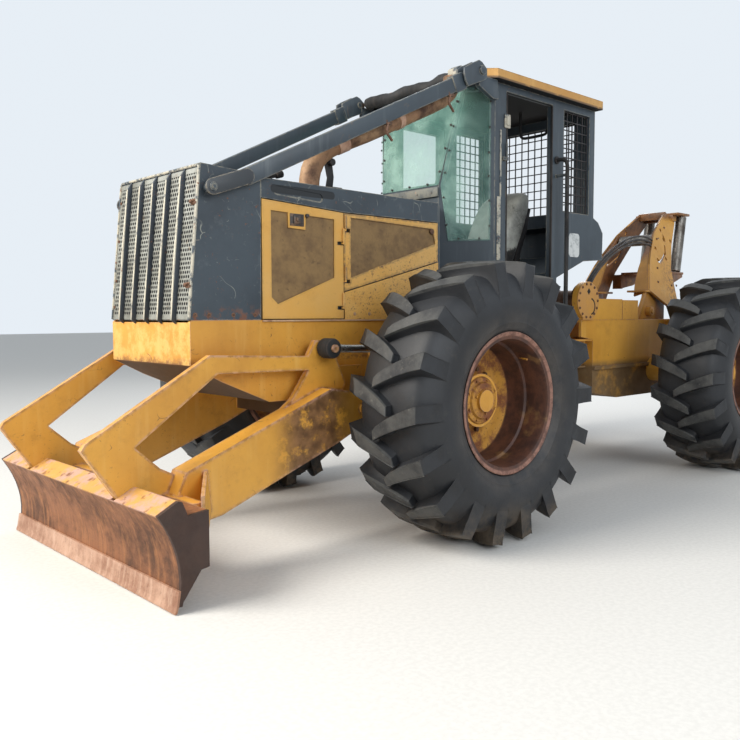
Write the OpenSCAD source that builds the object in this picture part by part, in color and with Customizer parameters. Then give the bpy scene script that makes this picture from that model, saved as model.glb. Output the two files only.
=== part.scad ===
// Cable skidder: an articulated forestry tractor with a front blade, a cab with limb risers,
// and a winch under a fairlead arch on the rear frame.
// The front axle stands at x = 0 of the machine, +X points forward, +Z up.

/* [Layout] */
// Distance between the axles
wheelbase = 3560; // [3400:10:3700]
// From the front axle to the tips of the blade carriers
front_reach = 2365; // [2365:1:2365]
// From the front axle to the back of the fairlead rollers
rear_reach = 4600; // [4600:1:4600]
// From the front axle back to the articulation pins
pivot_back = 1780; // [1760:5:1800]
// Gap between two pieces that are bolted or welded together
seat_gap = 0.3; // [0.2:0.1:0.5]

/* [Tyres] */
// Outside diameter over the lugs
tyre_d = 1760; // [1740:5:1780]
// Width of a tyre at its sidewalls
tyre_w = 620; // [600:5:640]
// Width of the tread over the lug ends
tread_w = 545; // [520:5:560]
// Side distance from the machine's middle to the middle of a tyre
tyre_y = 1125; // [1110:5:1150]
// Height of the lugs
lug_h = 62; // [45:1:75]
// Lugs on each half of a tread
lug_n = 14; // [12:1:16]
// Width of a lug
lug_w = 82; // [60:1:95]
// Angle of the lugs from the direction of travel
lug_angle = 48; // [40:1:55]
// Radius of the crown of the shoulders
shoulder_r = 60; // [40:5:80]

/* [Rims] */
// Diameter over the rim flanges
rim_d = 884; // [870:2:900]
// Width of the rim over its flanges
rim_w = 540; // [520:5:560]
// Thickness of the rim barrel
rim_t = 14; // [10:1:20]
// Depth of the disc behind the outer flange
dish_depth = 220; // [180:5:240]
// Thickness of the wheel disc
disc_t = 20; // [14:1:28]
// Number of wheel bolts
wheel_bolt_n = 12; // [8:2:16]
// Diameter of the bolt circle
wheel_bolt_circle = 420; // [380:5:440]
// Gap between a tyre's bead and the rim
bead_gap = 0.3; // [0.2:0.1:0.6]

/* [Axles] */
// Diameter of the axle tubes
axle_tube_d = 230; // [200:5:250]
// Diameter of the hub housings
hub_d = 340; // [320:5:350]
// Radius of the centre case of each axle
axle_case_r = 235; // [210:5:250]
// Radius of the wheel spindles
spindle_r = 70; // [60:1:80]
// Radial clearance of a wheel on its spindle
spindle_gap = 0.5; // [0.3:0.1:1]

/* [Front frame] */
// Half width of the nose, flush with the hood
nose_half_w = 479; // [470:1:490]
// Thickness of the frame's side plates
frame_t = 25; // [20:1:32]
// Half width of the frame behind the nose
frame_half_w = 400; // [380:5:410]
// Height of the frame's top, where the hood begins
frame_top = 1395; // [1390:1:1400]
// Height of the engine's foot
engine_low_z = 1130; // [1125:5:1150]
// Thickness of the belly plates
belly_t = 14; // [10:1:20]
// Radius of the articulation pins
joint_pin_r = 38; // [34:1:44]
// Thickness of one articulation lug
joint_lug_t = 45; // [40:1:50]
// Height of the upper articulation lug's middle
joint_top_z = 1190; // [1170:5:1210]
// Height of the lower articulation lug's middle
joint_low_z = 800; // [780:5:820]
// Radial clearance of the articulation pins
joint_pin_gap = 0.1; // [0.1:0.05:0.5]

/* [Hood] */
// Height of the hood's top at its front
hood_top = 2230; // [2215:1:2240]
// Height of the dark band's lower line at the shroud
band_front = 2112; // [2105:1:2115]
// Height of the dark band's lower line behind the front door
band_back = 2078; // [2072:1:2082]
// Back end of the hood
hood_back = -330; // [-345:5:-320]
// Back edge of the radiator shroud
shroud_back = 1207; // [1195:1:1215]
// Height of the shroud's top at its front
shroud_top = 2264; // [2255:1:2275]
// Front of the grille at its foot
grille_front_low = 1683; // [1675:1:1690]
// Front of the grille at its top
grille_front_top = 1601; // [1590:1:1610]
// Thickness of the hood's sheet metal
sheet_t = 6; // [4:1:10]
// Number of fins on the grille
grille_fin_n = 5; // [4:1:6]
// How far a grille fin stands out
grille_fin_h = 52; // [40:2:60]

/* [Engine doors] */
// Thickness of an engine door
engine_door_t = 24; // [20:1:28]
// Line between the front and the rear door
door_split = 560; // [550:1:570]
// Gap round an engine door
engine_door_gap = 6; // [5:1:8]
// Depth of the pressed screen field in a door
screen_recess = 10; // [6:1:12]
// Height of the rear door's lower edge at its back
rear_door_low_back = 1802; // [1795:1:1810]
// Height of the rear door's lower edge at its front
rear_door_low_front = 1575; // [1570:1:1590]
// Radius of a door hinge barrel
door_hinge_r = 9; // [8:1:11]

/* [Cab] */
// Depth of the wall over the rear windows
pane_head_t = 60; // [55:5:80]
// Half width of the cab at the door posts
cab_half_w = 600; // [590:5:610]
// Thickness of the cab's walls and posts
cab_wall = 50; // [40:2:60]
// Top of the cab's floor plate
cab_floor = 1340; // [1330:5:1350]
// Height of the cab's walls under the roof
cab_top = 3130; // [3120:5:3140]
// Thickness of the roof
roof_t = 70; // [60:2:80]
// Foot of the windshield, back from the axle
shield_x = 530; // [525:1:540]
// Height of the windshield's foot
shield_z = 2380; // [2370:5:2390]
// Lean of the windshield
shield_lean = 10.4; // [9:0.1:12]
// Half width of the cab's front at the windshield's foot
cab_front_half_w = 293; // [285:1:300]
// Front door post, back from the axle
post_b_x = 810; // [805:1:815]
// Front edge of the doorway, back from the axle
doorway_front = 945; // [940:1:950]
// Back edge of the doorway, back from the axle
doorway_back = 1530; // [1520:1:1540]
// Depth of the wall over the doorways
head_t = 50; // [45:1:60]
// Rear window's front edge, back from the axle
rear_pane_front = 1690; // [1680:1:1700]
// Rear window's back edge, back from the axle
rear_pane_back = 2060; // [2050:1:2070]
// Back of the upper cab, back from the axle
cab_back = 2140; // [2130:1:2150]
// Back of the lower cab, back from the axle
cab_low_back = 1610; // [1600:1:1620]
// Thickness of the window panes
glass_t = 8; // [6:1:10]
// Clearance between a pane and its frame
glass_gap = 0.3; // [0.2:0.1:1]
// Pitch of the screens' bars
screen_pitch = 74; // [60:2:100]
// Thickness of the screens' bars
screen_bar = 8; // [6:1:10]

/* [Limb risers] */
// Depth of a riser bar
riser_depth = 96; // [90:2:100]
// Width of a riser bar
riser_w = 50; // [44:2:56]
// Front end of the risers ahead of the axle
riser_front_x = 1550; // [1540:5:1560]
// Height of the risers' front pins
riser_front_z = 2130; // [2120:1:2140]
// Side distance of the front pins
riser_front_y = 530; // [525:1:540]
// Rear end of the risers, back from the axle
riser_back_x = 600; // [590:5:620]
// Side distance of the rear ends
riser_back_y = 650; // [645:1:655]

/* [Exhaust] */
// Radius of the exhaust pipe
exhaust_r = 45; // [38:1:50]

/* [Blade] */
// Width of the blade
blade_w = 2110; // [2000:10:2150]
// Height of the blade
blade_h = 490; // [470:5:510]
// Rest gap between the cutting edge and the ground
blade_rest = 6; // [4:1:10]
// Bottom of the cutting edge ahead of the axle
blade_x = 2124; // [2115:1:2130]
// Depth of the blade's hollow
blade_hollow = 62; // [40:1:70]
// Thickness of the blade's plate
blade_t = 20; // [16:1:25]
// Height of the cutting edge
edge_h = 112; // [90:2:130]
// Inner face of the carrier plates
carrier_y = 555; // [545:1:560]
// Thickness of the carrier plates
carrier_t = 40; // [36:1:44]
// Outer face of the push arms
arm_out_y = 705; // [700:1:720]
// Push arm pivot ahead of the axle
blade_pivot_x = 600; // [590:2:610]
// Height of the push arm pivot
blade_pivot_z = 840; // [835:1:850]
// Radius of the push arm pivot pins
blade_pin_r = 32; // [28:1:36]

/* [Lift cylinders] */
// Rod eye ahead of the axle
lift_eye_x = 830; // [825:1:835]
// Height of the rod eye
lift_eye_z = 1221; // [1215:1:1225]
// Barrel hinge back from the axle
lift_hinge_x = 350; // [340:5:360]
// Height of the barrel hinge
lift_hinge_z = 1180; // [1175:1:1185]
// Side distance of a lift cylinder
lift_y = 655; // [650:1:660]
// Radius of a lift cylinder's barrel
lift_barrel_r = 58; // [52:1:62]
// Radius of a lift cylinder's rod
lift_rod_r = 27; // [24:1:30]
// Radius of the lift pins
lift_pin_r = 24; // [22:1:26]
// Free play of the rod eye on its pin
lift_eye_play = 14; // [12:1:16]

/* [Steering cylinders] */
// Barrel hinge back from the axle
steer_hinge_x = 760; // [750:5:770]
// Rod eye back from the axle
steer_eye_x = 1930; // [1920:5:1940]
// Side distance of the rod eyes
steer_eye_y = 250; // [240:5:260]
// Side distance of the barrel hinges
steer_hinge_y = 240; // [230:5:250]
// Height of the steering cylinders
steer_z = 995; // [985:5:1005]
// Radius of a steering cylinder's barrel
steer_barrel_r = 48; // [44:1:52]
// Radius of a steering cylinder's rod
steer_rod_r = 22; // [20:1:26]
// Radius of the steering pins
steer_pin_r = 20; // [18:1:24]

/* [Rear frame] */
// Half width of the rear frame
rear_half_w = 400; // [390:5:410]
// Height of the rear deck
deck_z = 1373; // [1365:1:1380]
// Front of the rear frame's side plates, back from the axle
rear_front = 2290; // [2280:5:2300]
// Back of the rear frame, back from the axle
rear_back = 4380; // [4370:5:4390]
// Lower edge of the side plates
rear_low_z = 950; // [940:5:960]
// Height of the belly's underside
rear_belly_z = 640; // [630:5:650]
// Half width of the butt plate
butt_half_w = 620; // [600:10:640]
// Radius of the hole of the rear hitch
hitch_r = 26; // [24:1:30]

/* [Winch and arch] */
// Winch shaft back from the axle
winch_x = 2370; // [2365:1:2375]
// Height of the winch shaft
winch_z = 1545; // [1540:1:1550]
// Radius of the winch's end covers
winch_cover_r = 170; // [160:2:175]
// Outer face of the winch's end covers
winch_half_w = 420; // [410:5:425]
// Radius of the winch drum
drum_r = 95; // [85:5:105]
// Height of the knee where the arch's plates meet their shelves
arch_knee = 1660; // [1650:5:1670]
// Slope of the arch's side plates towards each other
arch_slope = 0.3; // [0.25:0.01:0.32]
// Thickness of the arch's side plates
arch_t = 25; // [20:1:30]
// Height of the arch's apex
arch_top = 2512; // [2505:1:2520]
// Radius of the fairlead rollers
roller_r = 55; // [45:1:58]
// Side distance of the standing rollers
roller_y = 180; // [170:1:185]

/* [Hidden] */

$fn = 48;

yellow = [0.80, 0.58, 0.18];
dark = [0.21, 0.25, 0.30];
pale = [0.72, 0.73, 0.72];
rust = [0.50, 0.30, 0.18];
rubber = [0.13, 0.14, 0.15];
steel = [0.62, 0.62, 0.62];
screen = [0.45, 0.36, 0.22];

// Route of the exhaust from the hood to its outlet over the riser
exhaust_route = [
    [715, 300, 2150], [715, 300, 2275], [702, 310, 2345], [650, 350, 2410], [570, 405, 2465],
    [480, 455, 2510], [380, 480, 2550], [-300, 540, 2870], [-400, 545, 2925], [-450, 548, 3000],
    [-470, 548, 3080], [-475, 548, 3190]
];

doorway_head = cab_top - head_t;
riser_back_z = cab_top + 3;

tyre_r = tyre_d / 2;
axle_z = tyre_r;
axle_x = (rear_reach - front_reach) / 2;
rim_r = rim_d / 2;

// The whole machine is drawn from the front axle and moved so that its box is centred.
module placed() {
    translate([axle_x, 0, 0]) children();
}

module both_sides() {
    children();
    mirror([0, 1, 0]) children();
}

module on_side(left) {
    mirror([0, left ? 0 : 1, 0]) children();
}

// A side profile, drawn as x and height, made y0 to y0 + t wide.
module slab(y0, t) {
    translate([0, y0 + t, 0]) rotate([90, 0, 0]) linear_extrude(t) children();
}

// A cylinder along Y from y0 to y1.
module shaft(r, x, z, y0, y1) {
    translate([x, y1, z]) rotate([90, 0, 0]) cylinder(r = r, h = y1 - y0);
}

// A cylinder between two points.
module rod(a, b, r) {
    d = b - a;
    l = norm(d);
    translate(a)
        rotate([0, acos(d.z / l), atan2(d.y, d.x)])
            cylinder(r = r, h = l);
}

// A tube of n sides along a route of points.
function unit(v) = v / norm(v);
function heading(route, i) =
    unit(route[min(i + 1, len(route) - 1)] - route[max(i - 1, 0)]);
module tube(route, r, n) {
    rings = [
        for (i = [0 : len(route) - 1])
            let (d = heading(route, i), s = unit(cross(d, [0.31, -0.9, 0.3])), u = cross(s, d))
                for (k = [0 : n - 1]) route[i] + r * (cos(k * 360 / n) * s + sin(k * 360 / n) * u)
    ];
    last = (len(route) - 1) * n;
    polyhedron(rings, concat(
        [[for (k = [n - 1 : -1 : 0]) k]],
        [for (i = [0 : len(route) - 2], k = [0 : n - 1])
            [i * n + k, i * n + (k + 1) % n, (i + 1) * n + (k + 1) % n, (i + 1) * n + k]],
        [[for (k = [0 : n - 1]) last + k]]
    ));
}

// A block between two opposite corners.
module block(a, b) {
    translate(a) cube(b - a);
}

// Tyres and rims. Drawn with the axle along Z and the outer side up.

// Points of one sidewall: an arc that bulges from the bead to the shoulder.
bead_r = rim_r - 36;
wall_foot_r = rim_r + bead_gap;
wall_top_r = tyre_r - lug_h - 12;
wall_mid_r = (wall_foot_r + wall_top_r) / 2;
bead_half_w = rim_w / 2 - 18 - bead_gap;
shoulder_half_w = tread_w / 2 - 14;
function sidewall(side) = concat([[bead_r, side * bead_half_w]], [
    for (a = [-75 : 15 : 75])
        let (lean = (a < 0) ? bead_half_w : shoulder_half_w)
        [
            wall_mid_r + (wall_top_r - wall_foot_r) / 2 * sin(a) / sin(75),
            side * (lean + (tyre_w / 2 - lean) * (cos(a) - cos(75)) / (1 - cos(75)))
        ]
]);

module carcass() {
    crown_r = tyre_r - lug_h;
    rotate_extrude($fn = 72)
        polygon(concat(
            sidewall(-1),
            [[crown_r, -tread_w / 2 + shoulder_r], [crown_r, tread_w / 2 - shoulder_r]],
            [for (i = [len(sidewall(1)) - 1 : -1 : 0]) sidewall(1)[i]]
        ));
}

// The ring that all lug faces lie in.
module lug_ring() {
    inner = tyre_r - lug_h - 20;
    rotate_extrude($fn = 72)
        polygon([
            [inner, -tread_w / 2], [tyre_r - 44, -tread_w / 2],
            [tyre_r, -tread_w / 2 + shoulder_r], [tyre_r, tread_w / 2 - shoulder_r],
            [tyre_r - 44, tread_w / 2], [inner, tread_w / 2]
        ]);
}

// One lug seen from outside the tread: x runs round the tyre, y across it.
module lug_plan() {
    half = tread_w / 2;
    run = half / tan(lug_angle);
    foot = lug_w * 0.35;
    polygon([
        [-lug_w * 0.45, -24], [lug_w * 0.55, -34],
        [run * 0.55 + lug_w * 0.62, half * 0.5], [run * 0.86 + lug_w * 0.75 + foot, half + 5],
        [run * 0.86 - lug_w * 0.35, half + 5], [run * 0.42 - lug_w * 0.3, half * 0.42]
    ]);
}

module lugs() {
    pitch = 360 / lug_n;
    for (i = [0 : lug_n - 1])
        for (half = [0, 1])
            rotate([0, 0, (i + half / 2) * pitch])
                mirror([0, 0, half])
                    rotate([90, 0, 90])
                        linear_extrude(tyre_r + 20)
                            mirror([1, 0]) lug_plan();
}

module tyre_solid() {
    union() {
        carcass();
        intersection() {
            lug_ring();
            lugs();
        }
    }
}

module rim_solid() {
    half = rim_w / 2;
    barrel_r = rim_r - 36;
    disc_y = half - dish_depth;
    bolt_r = 14;
    hub_len = 70;
    difference() {
        union() {
            rotate_extrude($fn = 72)
                polygon([
                    [barrel_r - rim_t, -half], [rim_r, -half], [rim_r, -half + 16],
                    [barrel_r - bead_gap, -half + 18], [barrel_r - bead_gap, half - 18],
                    [rim_r, half - 16], [rim_r, half], [barrel_r - rim_t, half]
                ]);
            translate([0, 0, disc_y - disc_t]) cylinder(r = barrel_r - rim_t + 2, h = disc_t, $fn = 72);
            translate([0, 0, disc_y - disc_t]) cylinder(r = hub_d / 2 - 20, h = hub_len);
            for (i = [0 : wheel_bolt_n - 1])
                rotate([0, 0, i * 360 / wheel_bolt_n])
                    translate([wheel_bolt_circle / 2, 0, disc_y]) cylinder(r = bolt_r, h = 22, $fn = 6);
        }
        translate([0, 0, disc_y - disc_t - 1])
            cylinder(r = spindle_r + spindle_gap, h = hub_len - 20);
    }
}

// Puts a wheel drawn along Z on its axle, with its outer side outward.
module at_wheel(front, left) {
    x = front ? 0 : -wheelbase;
    placed()
        on_side(left)
            translate([x, tyre_y, axle_z])
                rotate([-90, 0, 0])
                    children();
}

module tyre(front, left) { color(rubber) at_wheel(front, left) tyre_solid(); }
module rim(front, left) { color(rust) at_wheel(front, left) rim_solid(); }

module tyre_front_left() { tyre(true, true); }
module tyre_front_right() { tyre(true, false); }
module tyre_rear_left() { tyre(false, true); }
module tyre_rear_right() { tyre(false, false); }
module rim_front_left() { rim(true, true); }
module rim_front_right() { rim(true, false); }
module rim_rear_left() { rim(false, true); }
module rim_rear_right() { rim(false, false); }

// Axles. The spindle ends inside the hub of the rim.
disc_back_y = tyre_y + rim_w / 2 - dish_depth - disc_t;

module axle(x) {
    hub_in = disc_back_y - 250;
    spindle_out = disc_back_y + 46;
    translate([x, 0, axle_z]) {
        both_sides() {
            shaft(axle_tube_d / 2, 0, 0, 0, hub_in + 10);
            shaft(hub_d / 2, 0, 0, hub_in, disc_back_y - 6);
            shaft(spindle_r, 0, 0, hub_in, spindle_out);
        }
        rotate([90, 0, 0])
            rotate_extrude()
                polygon([
                    [0, -170], [axle_case_r - 70, -170], [axle_case_r, -90],
                    [axle_case_r, 90], [axle_case_r - 70, 170], [0, 170]
                ]);
    }
}

module front_axle() {
    color(yellow) placed() axle(0);
}

module rear_axle() {
    color(yellow) placed() axle(-wheelbase);
}

// Front frame

// Steps: outer edge, height of the lower one, and the rise to the next
step_out = cab_half_w;
step_low = 640;
step_rise = 330;
step_t = 14;

nose_profile = [
    [grille_front_low, 1144], [grille_front_low, frame_top - 12], [grille_front_low - 12, frame_top],
    [200, frame_top], [200, 905], [1151, 904], [1483, 1043]
];

module front_frame() {
    rail_top = cab_floor - 20 - seat_gap;
    color(yellow) placed() difference() {
        union() {
            // Nose: side plates, front plate and belly
            both_sides() slab(nose_half_w - frame_t, frame_t) polygon(nose_profile);
            block([grille_front_low - frame_t, -nose_half_w, 1144], [grille_front_low, nose_half_w, frame_top - 12]);
            both_sides() slab(nose_half_w - frame_t, frame_t)
                polygon([[200, 905], [200, 1150], [-900, 1150], [-900, 905]]);
            // Belly plates under the nose
            slab(-nose_half_w, 2 * nose_half_w)
                polygon([
                    [grille_front_low, 1144], [1483, 1043], [1151, 904], [760, 904],
                    [760, 904 + belly_t], [1151 - 5, 904 + belly_t], [1483 - 5, 1043 + belly_t],
                    [grille_front_low - 20, 1144 + belly_t]
                ]);
            // Frame rails past the axle to the articulation
            both_sides() slab(frame_half_w - frame_t, frame_t)
                polygon([
                    [760, rail_top], [760, 760], [400, 700], [-400, 700], [-1380, 700],
                    [-1500, 760], [-1500, rail_top]
                ]);
            // Cross plates
            block([735, -nose_half_w + 1, 760], [760, nose_half_w - 1, engine_low_z]);
            block([-1500, -frame_half_w, 760], [-1475, frame_half_w, 1290]);
            block([-1100, -frame_half_w, 700], [-400, frame_half_w, 700 + belly_t]);
            // Articulation lugs
            for (z = [joint_top_z, joint_low_z])
                for (s = [-1, 1])
                    joint_lug(z + s * (joint_lug_t + 3), -1480);
            for (z = [joint_top_z, joint_low_z])
                translate([-pivot_back, 0, z - 1.5 * joint_lug_t - 12])
                    cylinder(r = joint_pin_r, h = 3 * joint_lug_t + 24);
            // Arm pivot brackets and pins
            both_sides() {
                slab(nose_half_w - 10, 50)
                    union() {
                        translate([blade_pivot_x, blade_pivot_z]) circle(r = 95);
                        polygon([
                            [blade_pivot_x - 95, blade_pivot_z], [blade_pivot_x + 95, blade_pivot_z],
                            [blade_pivot_x + 140, 1100], [blade_pivot_x - 160, 1100]
                        ]);
                    }
                shaft(blade_pin_r, blade_pivot_x, blade_pivot_z, nose_half_w, arm_out_y + 12);
                // Lift cylinder hinges
                block([-lift_hinge_x - 70, nose_half_w - 5, lift_hinge_z - 75],
                    [-lift_hinge_x + 70, lift_y - lift_barrel_r - 8, lift_hinge_z + 40]);
                shaft(lift_pin_r, -lift_hinge_x, lift_hinge_z, nose_half_w, lift_y + lift_barrel_r + 14);
            }
            // Steering cylinder hinges
            both_sides()
                for (s = [-1, 1])
                    translate([0, 0, steer_z + s * 64 - 10])
                        linear_extrude(20)
                            polygon([
                                [-steer_hinge_x - 45, steer_hinge_y - 45], [-steer_hinge_x + 45, steer_hinge_y - 45],
                                [-steer_hinge_x + 60, frame_half_w - frame_t + 1],
                                [-steer_hinge_x - 60, frame_half_w - frame_t + 1]
                            ]);
            both_sides()
                translate([-steer_hinge_x, steer_hinge_y, steer_z - 74]) cylinder(r = steer_pin_r, h = 148);
            // Steps under the doorways
            both_sides() {
                for (x = [-doorway_front - 40, -doorway_back + 90])
                    block([x - step_t, frame_half_w - 5, step_low], [x, step_out - 20, rail_top - 60]);
                for (z = [step_low, step_low + step_rise])
                    block([-doorway_back + 90 - step_t, step_out - 170, z], [-doorway_front - 40, step_out, z + 30]);
            }
            // Cab floor supports
            both_sides() block([-1500, frame_half_w - 60, rail_top - 40], [-860, frame_half_w, rail_top]);
        }
        // Room for the axle
        shaft(axle_tube_d / 2 + seat_gap, 0, axle_z, -600, 600);
        shaft(axle_case_r + seat_gap, 0, axle_z, -200, 200);
        // Windows for the steering rods
        both_sides() block([-1600, 120, steer_z - 70], [-1400, frame_half_w - frame_t - 1, steer_z + 70]);
    }
}

module joint_lug(z, x_root) {
    translate([0, 0, z - joint_lug_t / 2])
        linear_extrude(joint_lug_t)
            union() {
                translate([-pivot_back, 0]) circle(r = 95);
                polygon([[-pivot_back, -95], [-pivot_back, 95], [x_root, 210], [x_root, -210]]);
            }
}

module engine() {
    color([0.3, 0.3, 0.3]) placed() block([-250, -260, engine_low_z + seat_gap], [1050, 260, 1980]);
}

// Hood and grille

function grille_x(z) = grille_front_low
    + (grille_front_top - grille_front_low) * (z - frame_top) / (shroud_top - frame_top);

shroud_profile = [
    [grille_x(frame_top), frame_top + seat_gap], [grille_x(shroud_top), shroud_top],
    [1288, hood_top + 17], [1200, hood_top], [shroud_back, frame_top + seat_gap]
];

module radiator_shroud() {
    color(dark) placed() difference() {
        slab(-nose_half_w, 2 * nose_half_w) polygon(shroud_profile);
        // Hollow behind the grille
        slab(-nose_half_w + sheet_t * 2, 2 * nose_half_w - sheet_t * 4)
            polygon([
                [1900, frame_top + 30], [1900, shroud_top - 40], [1288, hood_top - 20],
                [1000, hood_top - 30], [1000, frame_top + 30]
            ]);
    }
}

module grille() {
    low = frame_top + 36;
    high = shroud_top - 54;
    inset = 14;
    half = nose_half_w - sheet_t * 2 - seat_gap;
    pitch = 2 * half / (grille_fin_n + 1);
    color(pale) placed() {
        slab(-half, 2 * half)
            polygon([
                [grille_x(low) - inset, low], [grille_x(high) - inset, high],
                [grille_x(high) - inset - 18, high], [grille_x(low) - inset - 18, low]
            ]);
        for (i = [1 : grille_fin_n])
            slab(-half + i * pitch - 9, 18)
                polygon([
                    [grille_x(low) - inset - 2, low], [grille_x(low) + grille_fin_h, low + 10],
                    [grille_x(high) + grille_fin_h, high - 10], [grille_x(high) - inset - 2, high]
                ]);
    }
}

hood_front = 1200 - seat_gap;
function band(x) = x > door_split
    ? band_back + (band_front - band_back) * (x - door_split) / (hood_front - door_split)
    : band_back;

module hood() {
    back = hood_back;
    post_in = nose_half_w - engine_door_t - 10;
    cowl_half = 400;
    color(dark) placed() difference() {
        union() {
            // Top cover with its two side bands
            difference() {
                slab(-nose_half_w, 2 * nose_half_w)
                    polygon([
                        [hood_front, band_front], [hood_front, hood_top - 1], [back, hood_top - 13], [back, band_back],
                        [door_split, band_back]
                    ]);
                slab(-nose_half_w + sheet_t, 2 * nose_half_w - 2 * sheet_t)
                    polygon([
                        [1300, band_back - 50], [1300, hood_top - sheet_t - 1],
                        [back + sheet_t, hood_top - 13 - sheet_t], [back + sheet_t, band_back - 50]
                    ]);
            }
            // Posts between the doors, and the panels under the rear doors
            both_sides() {
                slab(post_in, 6)
                    polygon([
                        [door_split + 60, frame_top + seat_gap], [door_split + 60, hood_top - 10],
                        [door_split - 60, hood_top - 10], [door_split - 60, frame_top + seat_gap]
                    ]);
                slab(post_in, nose_half_w - post_in)
                    polygon([
                        [door_split - 8, frame_top + seat_gap], [door_split - 8, rear_door_low_front - engine_door_gap],
                        [back, rear_door_low_back - engine_door_gap], [back, frame_top + seat_gap]
                    ]);
                block([back, post_in, frame_top + seat_gap], [back + sheet_t, nose_half_w - engine_door_t - 6, hood_top - 14]);
                // Hinge lugs and pins of the doors
                for (h = ENGINE_HINGES) {
                    block([h[0] - 7, post_in + 1, h[1] - 17], [h[0] + 7, door_hinge_y, h[1] - 5]);
                    translate([h[0], door_hinge_y, h[1] - 17]) cylinder(r = door_pin_r, h = 102);
                }
            }
            // Cowl between the hood and the cab
            difference() {
                block([-shield_x + seat_gap, -cowl_half, frame_top + seat_gap], [back + sheet_t, cowl_half, hood_top - 14]);
                block([-shield_x + sheet_t, -cowl_half + sheet_t, frame_top - 50],
                    [back + 2 * sheet_t, cowl_half - sheet_t, hood_top - 14 - sheet_t]);
                both_sides() translate([-shield_x, cab_front_half_w - 1, 0]) rotate([0, 0, 90 + chamfer_angle])
                    block([0, -200, frame_top - 50], [400, 200, hood_top + 50]);
            }
        }
        // Pressed slot in each side band
        both_sides() slab(nose_half_w - 4, 10) {
            for (x = [760, 1080]) translate([x, band(x) + 60]) circle(r = 26);
            polygon([[760, band(760) + 34], [760, band(760) + 86], [1080, band(1080) + 86], [1080, band(1080) + 34]]);
        }
        // Exhaust outlet
        translate([exhaust_route[0].x, exhaust_route[0].y, 2190]) cylinder(r = exhaust_r + seat_gap, h = 60);
    }
}

module exhaust() {
    color(rust) placed() tube(exhaust_route, exhaust_r, 16);
}

// Link plate at a riser's foot
link_r = 62;
link_t = 16;
link_len = 230;
link_drop = 60;

module riser_bar(grow, t) {
    run = riser_front_x + riser_back_x;
    rise = riser_back_z - riser_front_z;
    spread = riser_back_y - riser_front_y;
    yaw = atan2(spread, -run);
    len = norm([run, spread, rise]);
    translate([riser_front_x, riser_front_y, riser_front_z])
        rotate([0, -asin(rise / len), yaw])
            translate([0, -t / 2, -grow / 2]) cube([len, t, grow]);
}

module limb_risers() {
    color(dark) placed() both_sides() difference() {
        union() {
            riser_bar(riser_depth, riser_w);
            shaft(riser_depth / 2, riser_front_x, riser_front_z, nose_half_w + seat_gap, riser_front_y + riser_w / 2);
            // Rounded link plate on the shroud's side, with the pin's head
            slab(nose_half_w + seat_gap, link_t) {
                translate([riser_front_x, riser_front_z]) circle(r = link_r);
                translate([riser_front_x - link_len, riser_front_z + link_drop]) circle(r = link_r);
                polygon([
                    [riser_front_x, riser_front_z - link_r], [riser_front_x, riser_front_z + link_r],
                    [riser_front_x - link_len, riser_front_z + link_drop + link_r],
                    [riser_front_x - link_len, riser_front_z + link_drop - link_r]
                ]);
            }
            shaft(30, riser_front_x, riser_front_z, nose_half_w + seat_gap, riser_front_y + riser_w / 2 + 18);
        }
        block([-2000, 0, 2000], [-riser_back_x, 900, 4000]);
    }
    color(dark) placed() both_sides()
        slab(cab_half_w + glass_gap, riser_back_y - cab_half_w)
            polygon([
                [-riser_back_x + 30, cab_top - 4], [-riser_back_x + 30, cab_top - 70],
                [-post_b_x - 60, cab_top - 140], [-post_b_x - 100, cab_top - 4]
            ]);
}

// Cab

lean = tan(shield_lean);
over_cab = cab_top + 200;
function shield_at(z) = -shield_x - (z - shield_z) * lean;
chamfer_angle = atan2(cab_half_w - cab_front_half_w, post_b_x - shield_x);

// Plan of the cab, drawn d inside its outer face.
module cab_plan(d) {
    offset(delta = -d)
        polygon([
            [-shield_x, -cab_front_half_w], [-shield_x, cab_front_half_w], [-post_b_x, cab_half_w],
            [-cab_back, cab_half_w], [-cab_back, -cab_half_w], [-post_b_x, -cab_half_w]
        ]);
}

cab_side = [
    [0, cab_floor - 20], [0, cab_top], [-cab_back, cab_top], [-cab_back, 2240], [-2215, 2207], [-2290, 2120],
    [-2285, 1890], [-2000, 1870], [-cab_low_back, 1720], [-cab_low_back, cab_floor - 20]
];

cab_hinge_z = [1700, 2600];
cab_hinge_x = -doorway_front + 12;
cab_hinge_y = cab_half_w + 16;

// Grab rails behind the doorways
rail_x = -doorway_back - 60;
rail_y = cab_half_w + 100;
rail_low = cab_floor - 15;
rail_high = cab_floor + 1210;
rail_r = 14;

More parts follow.
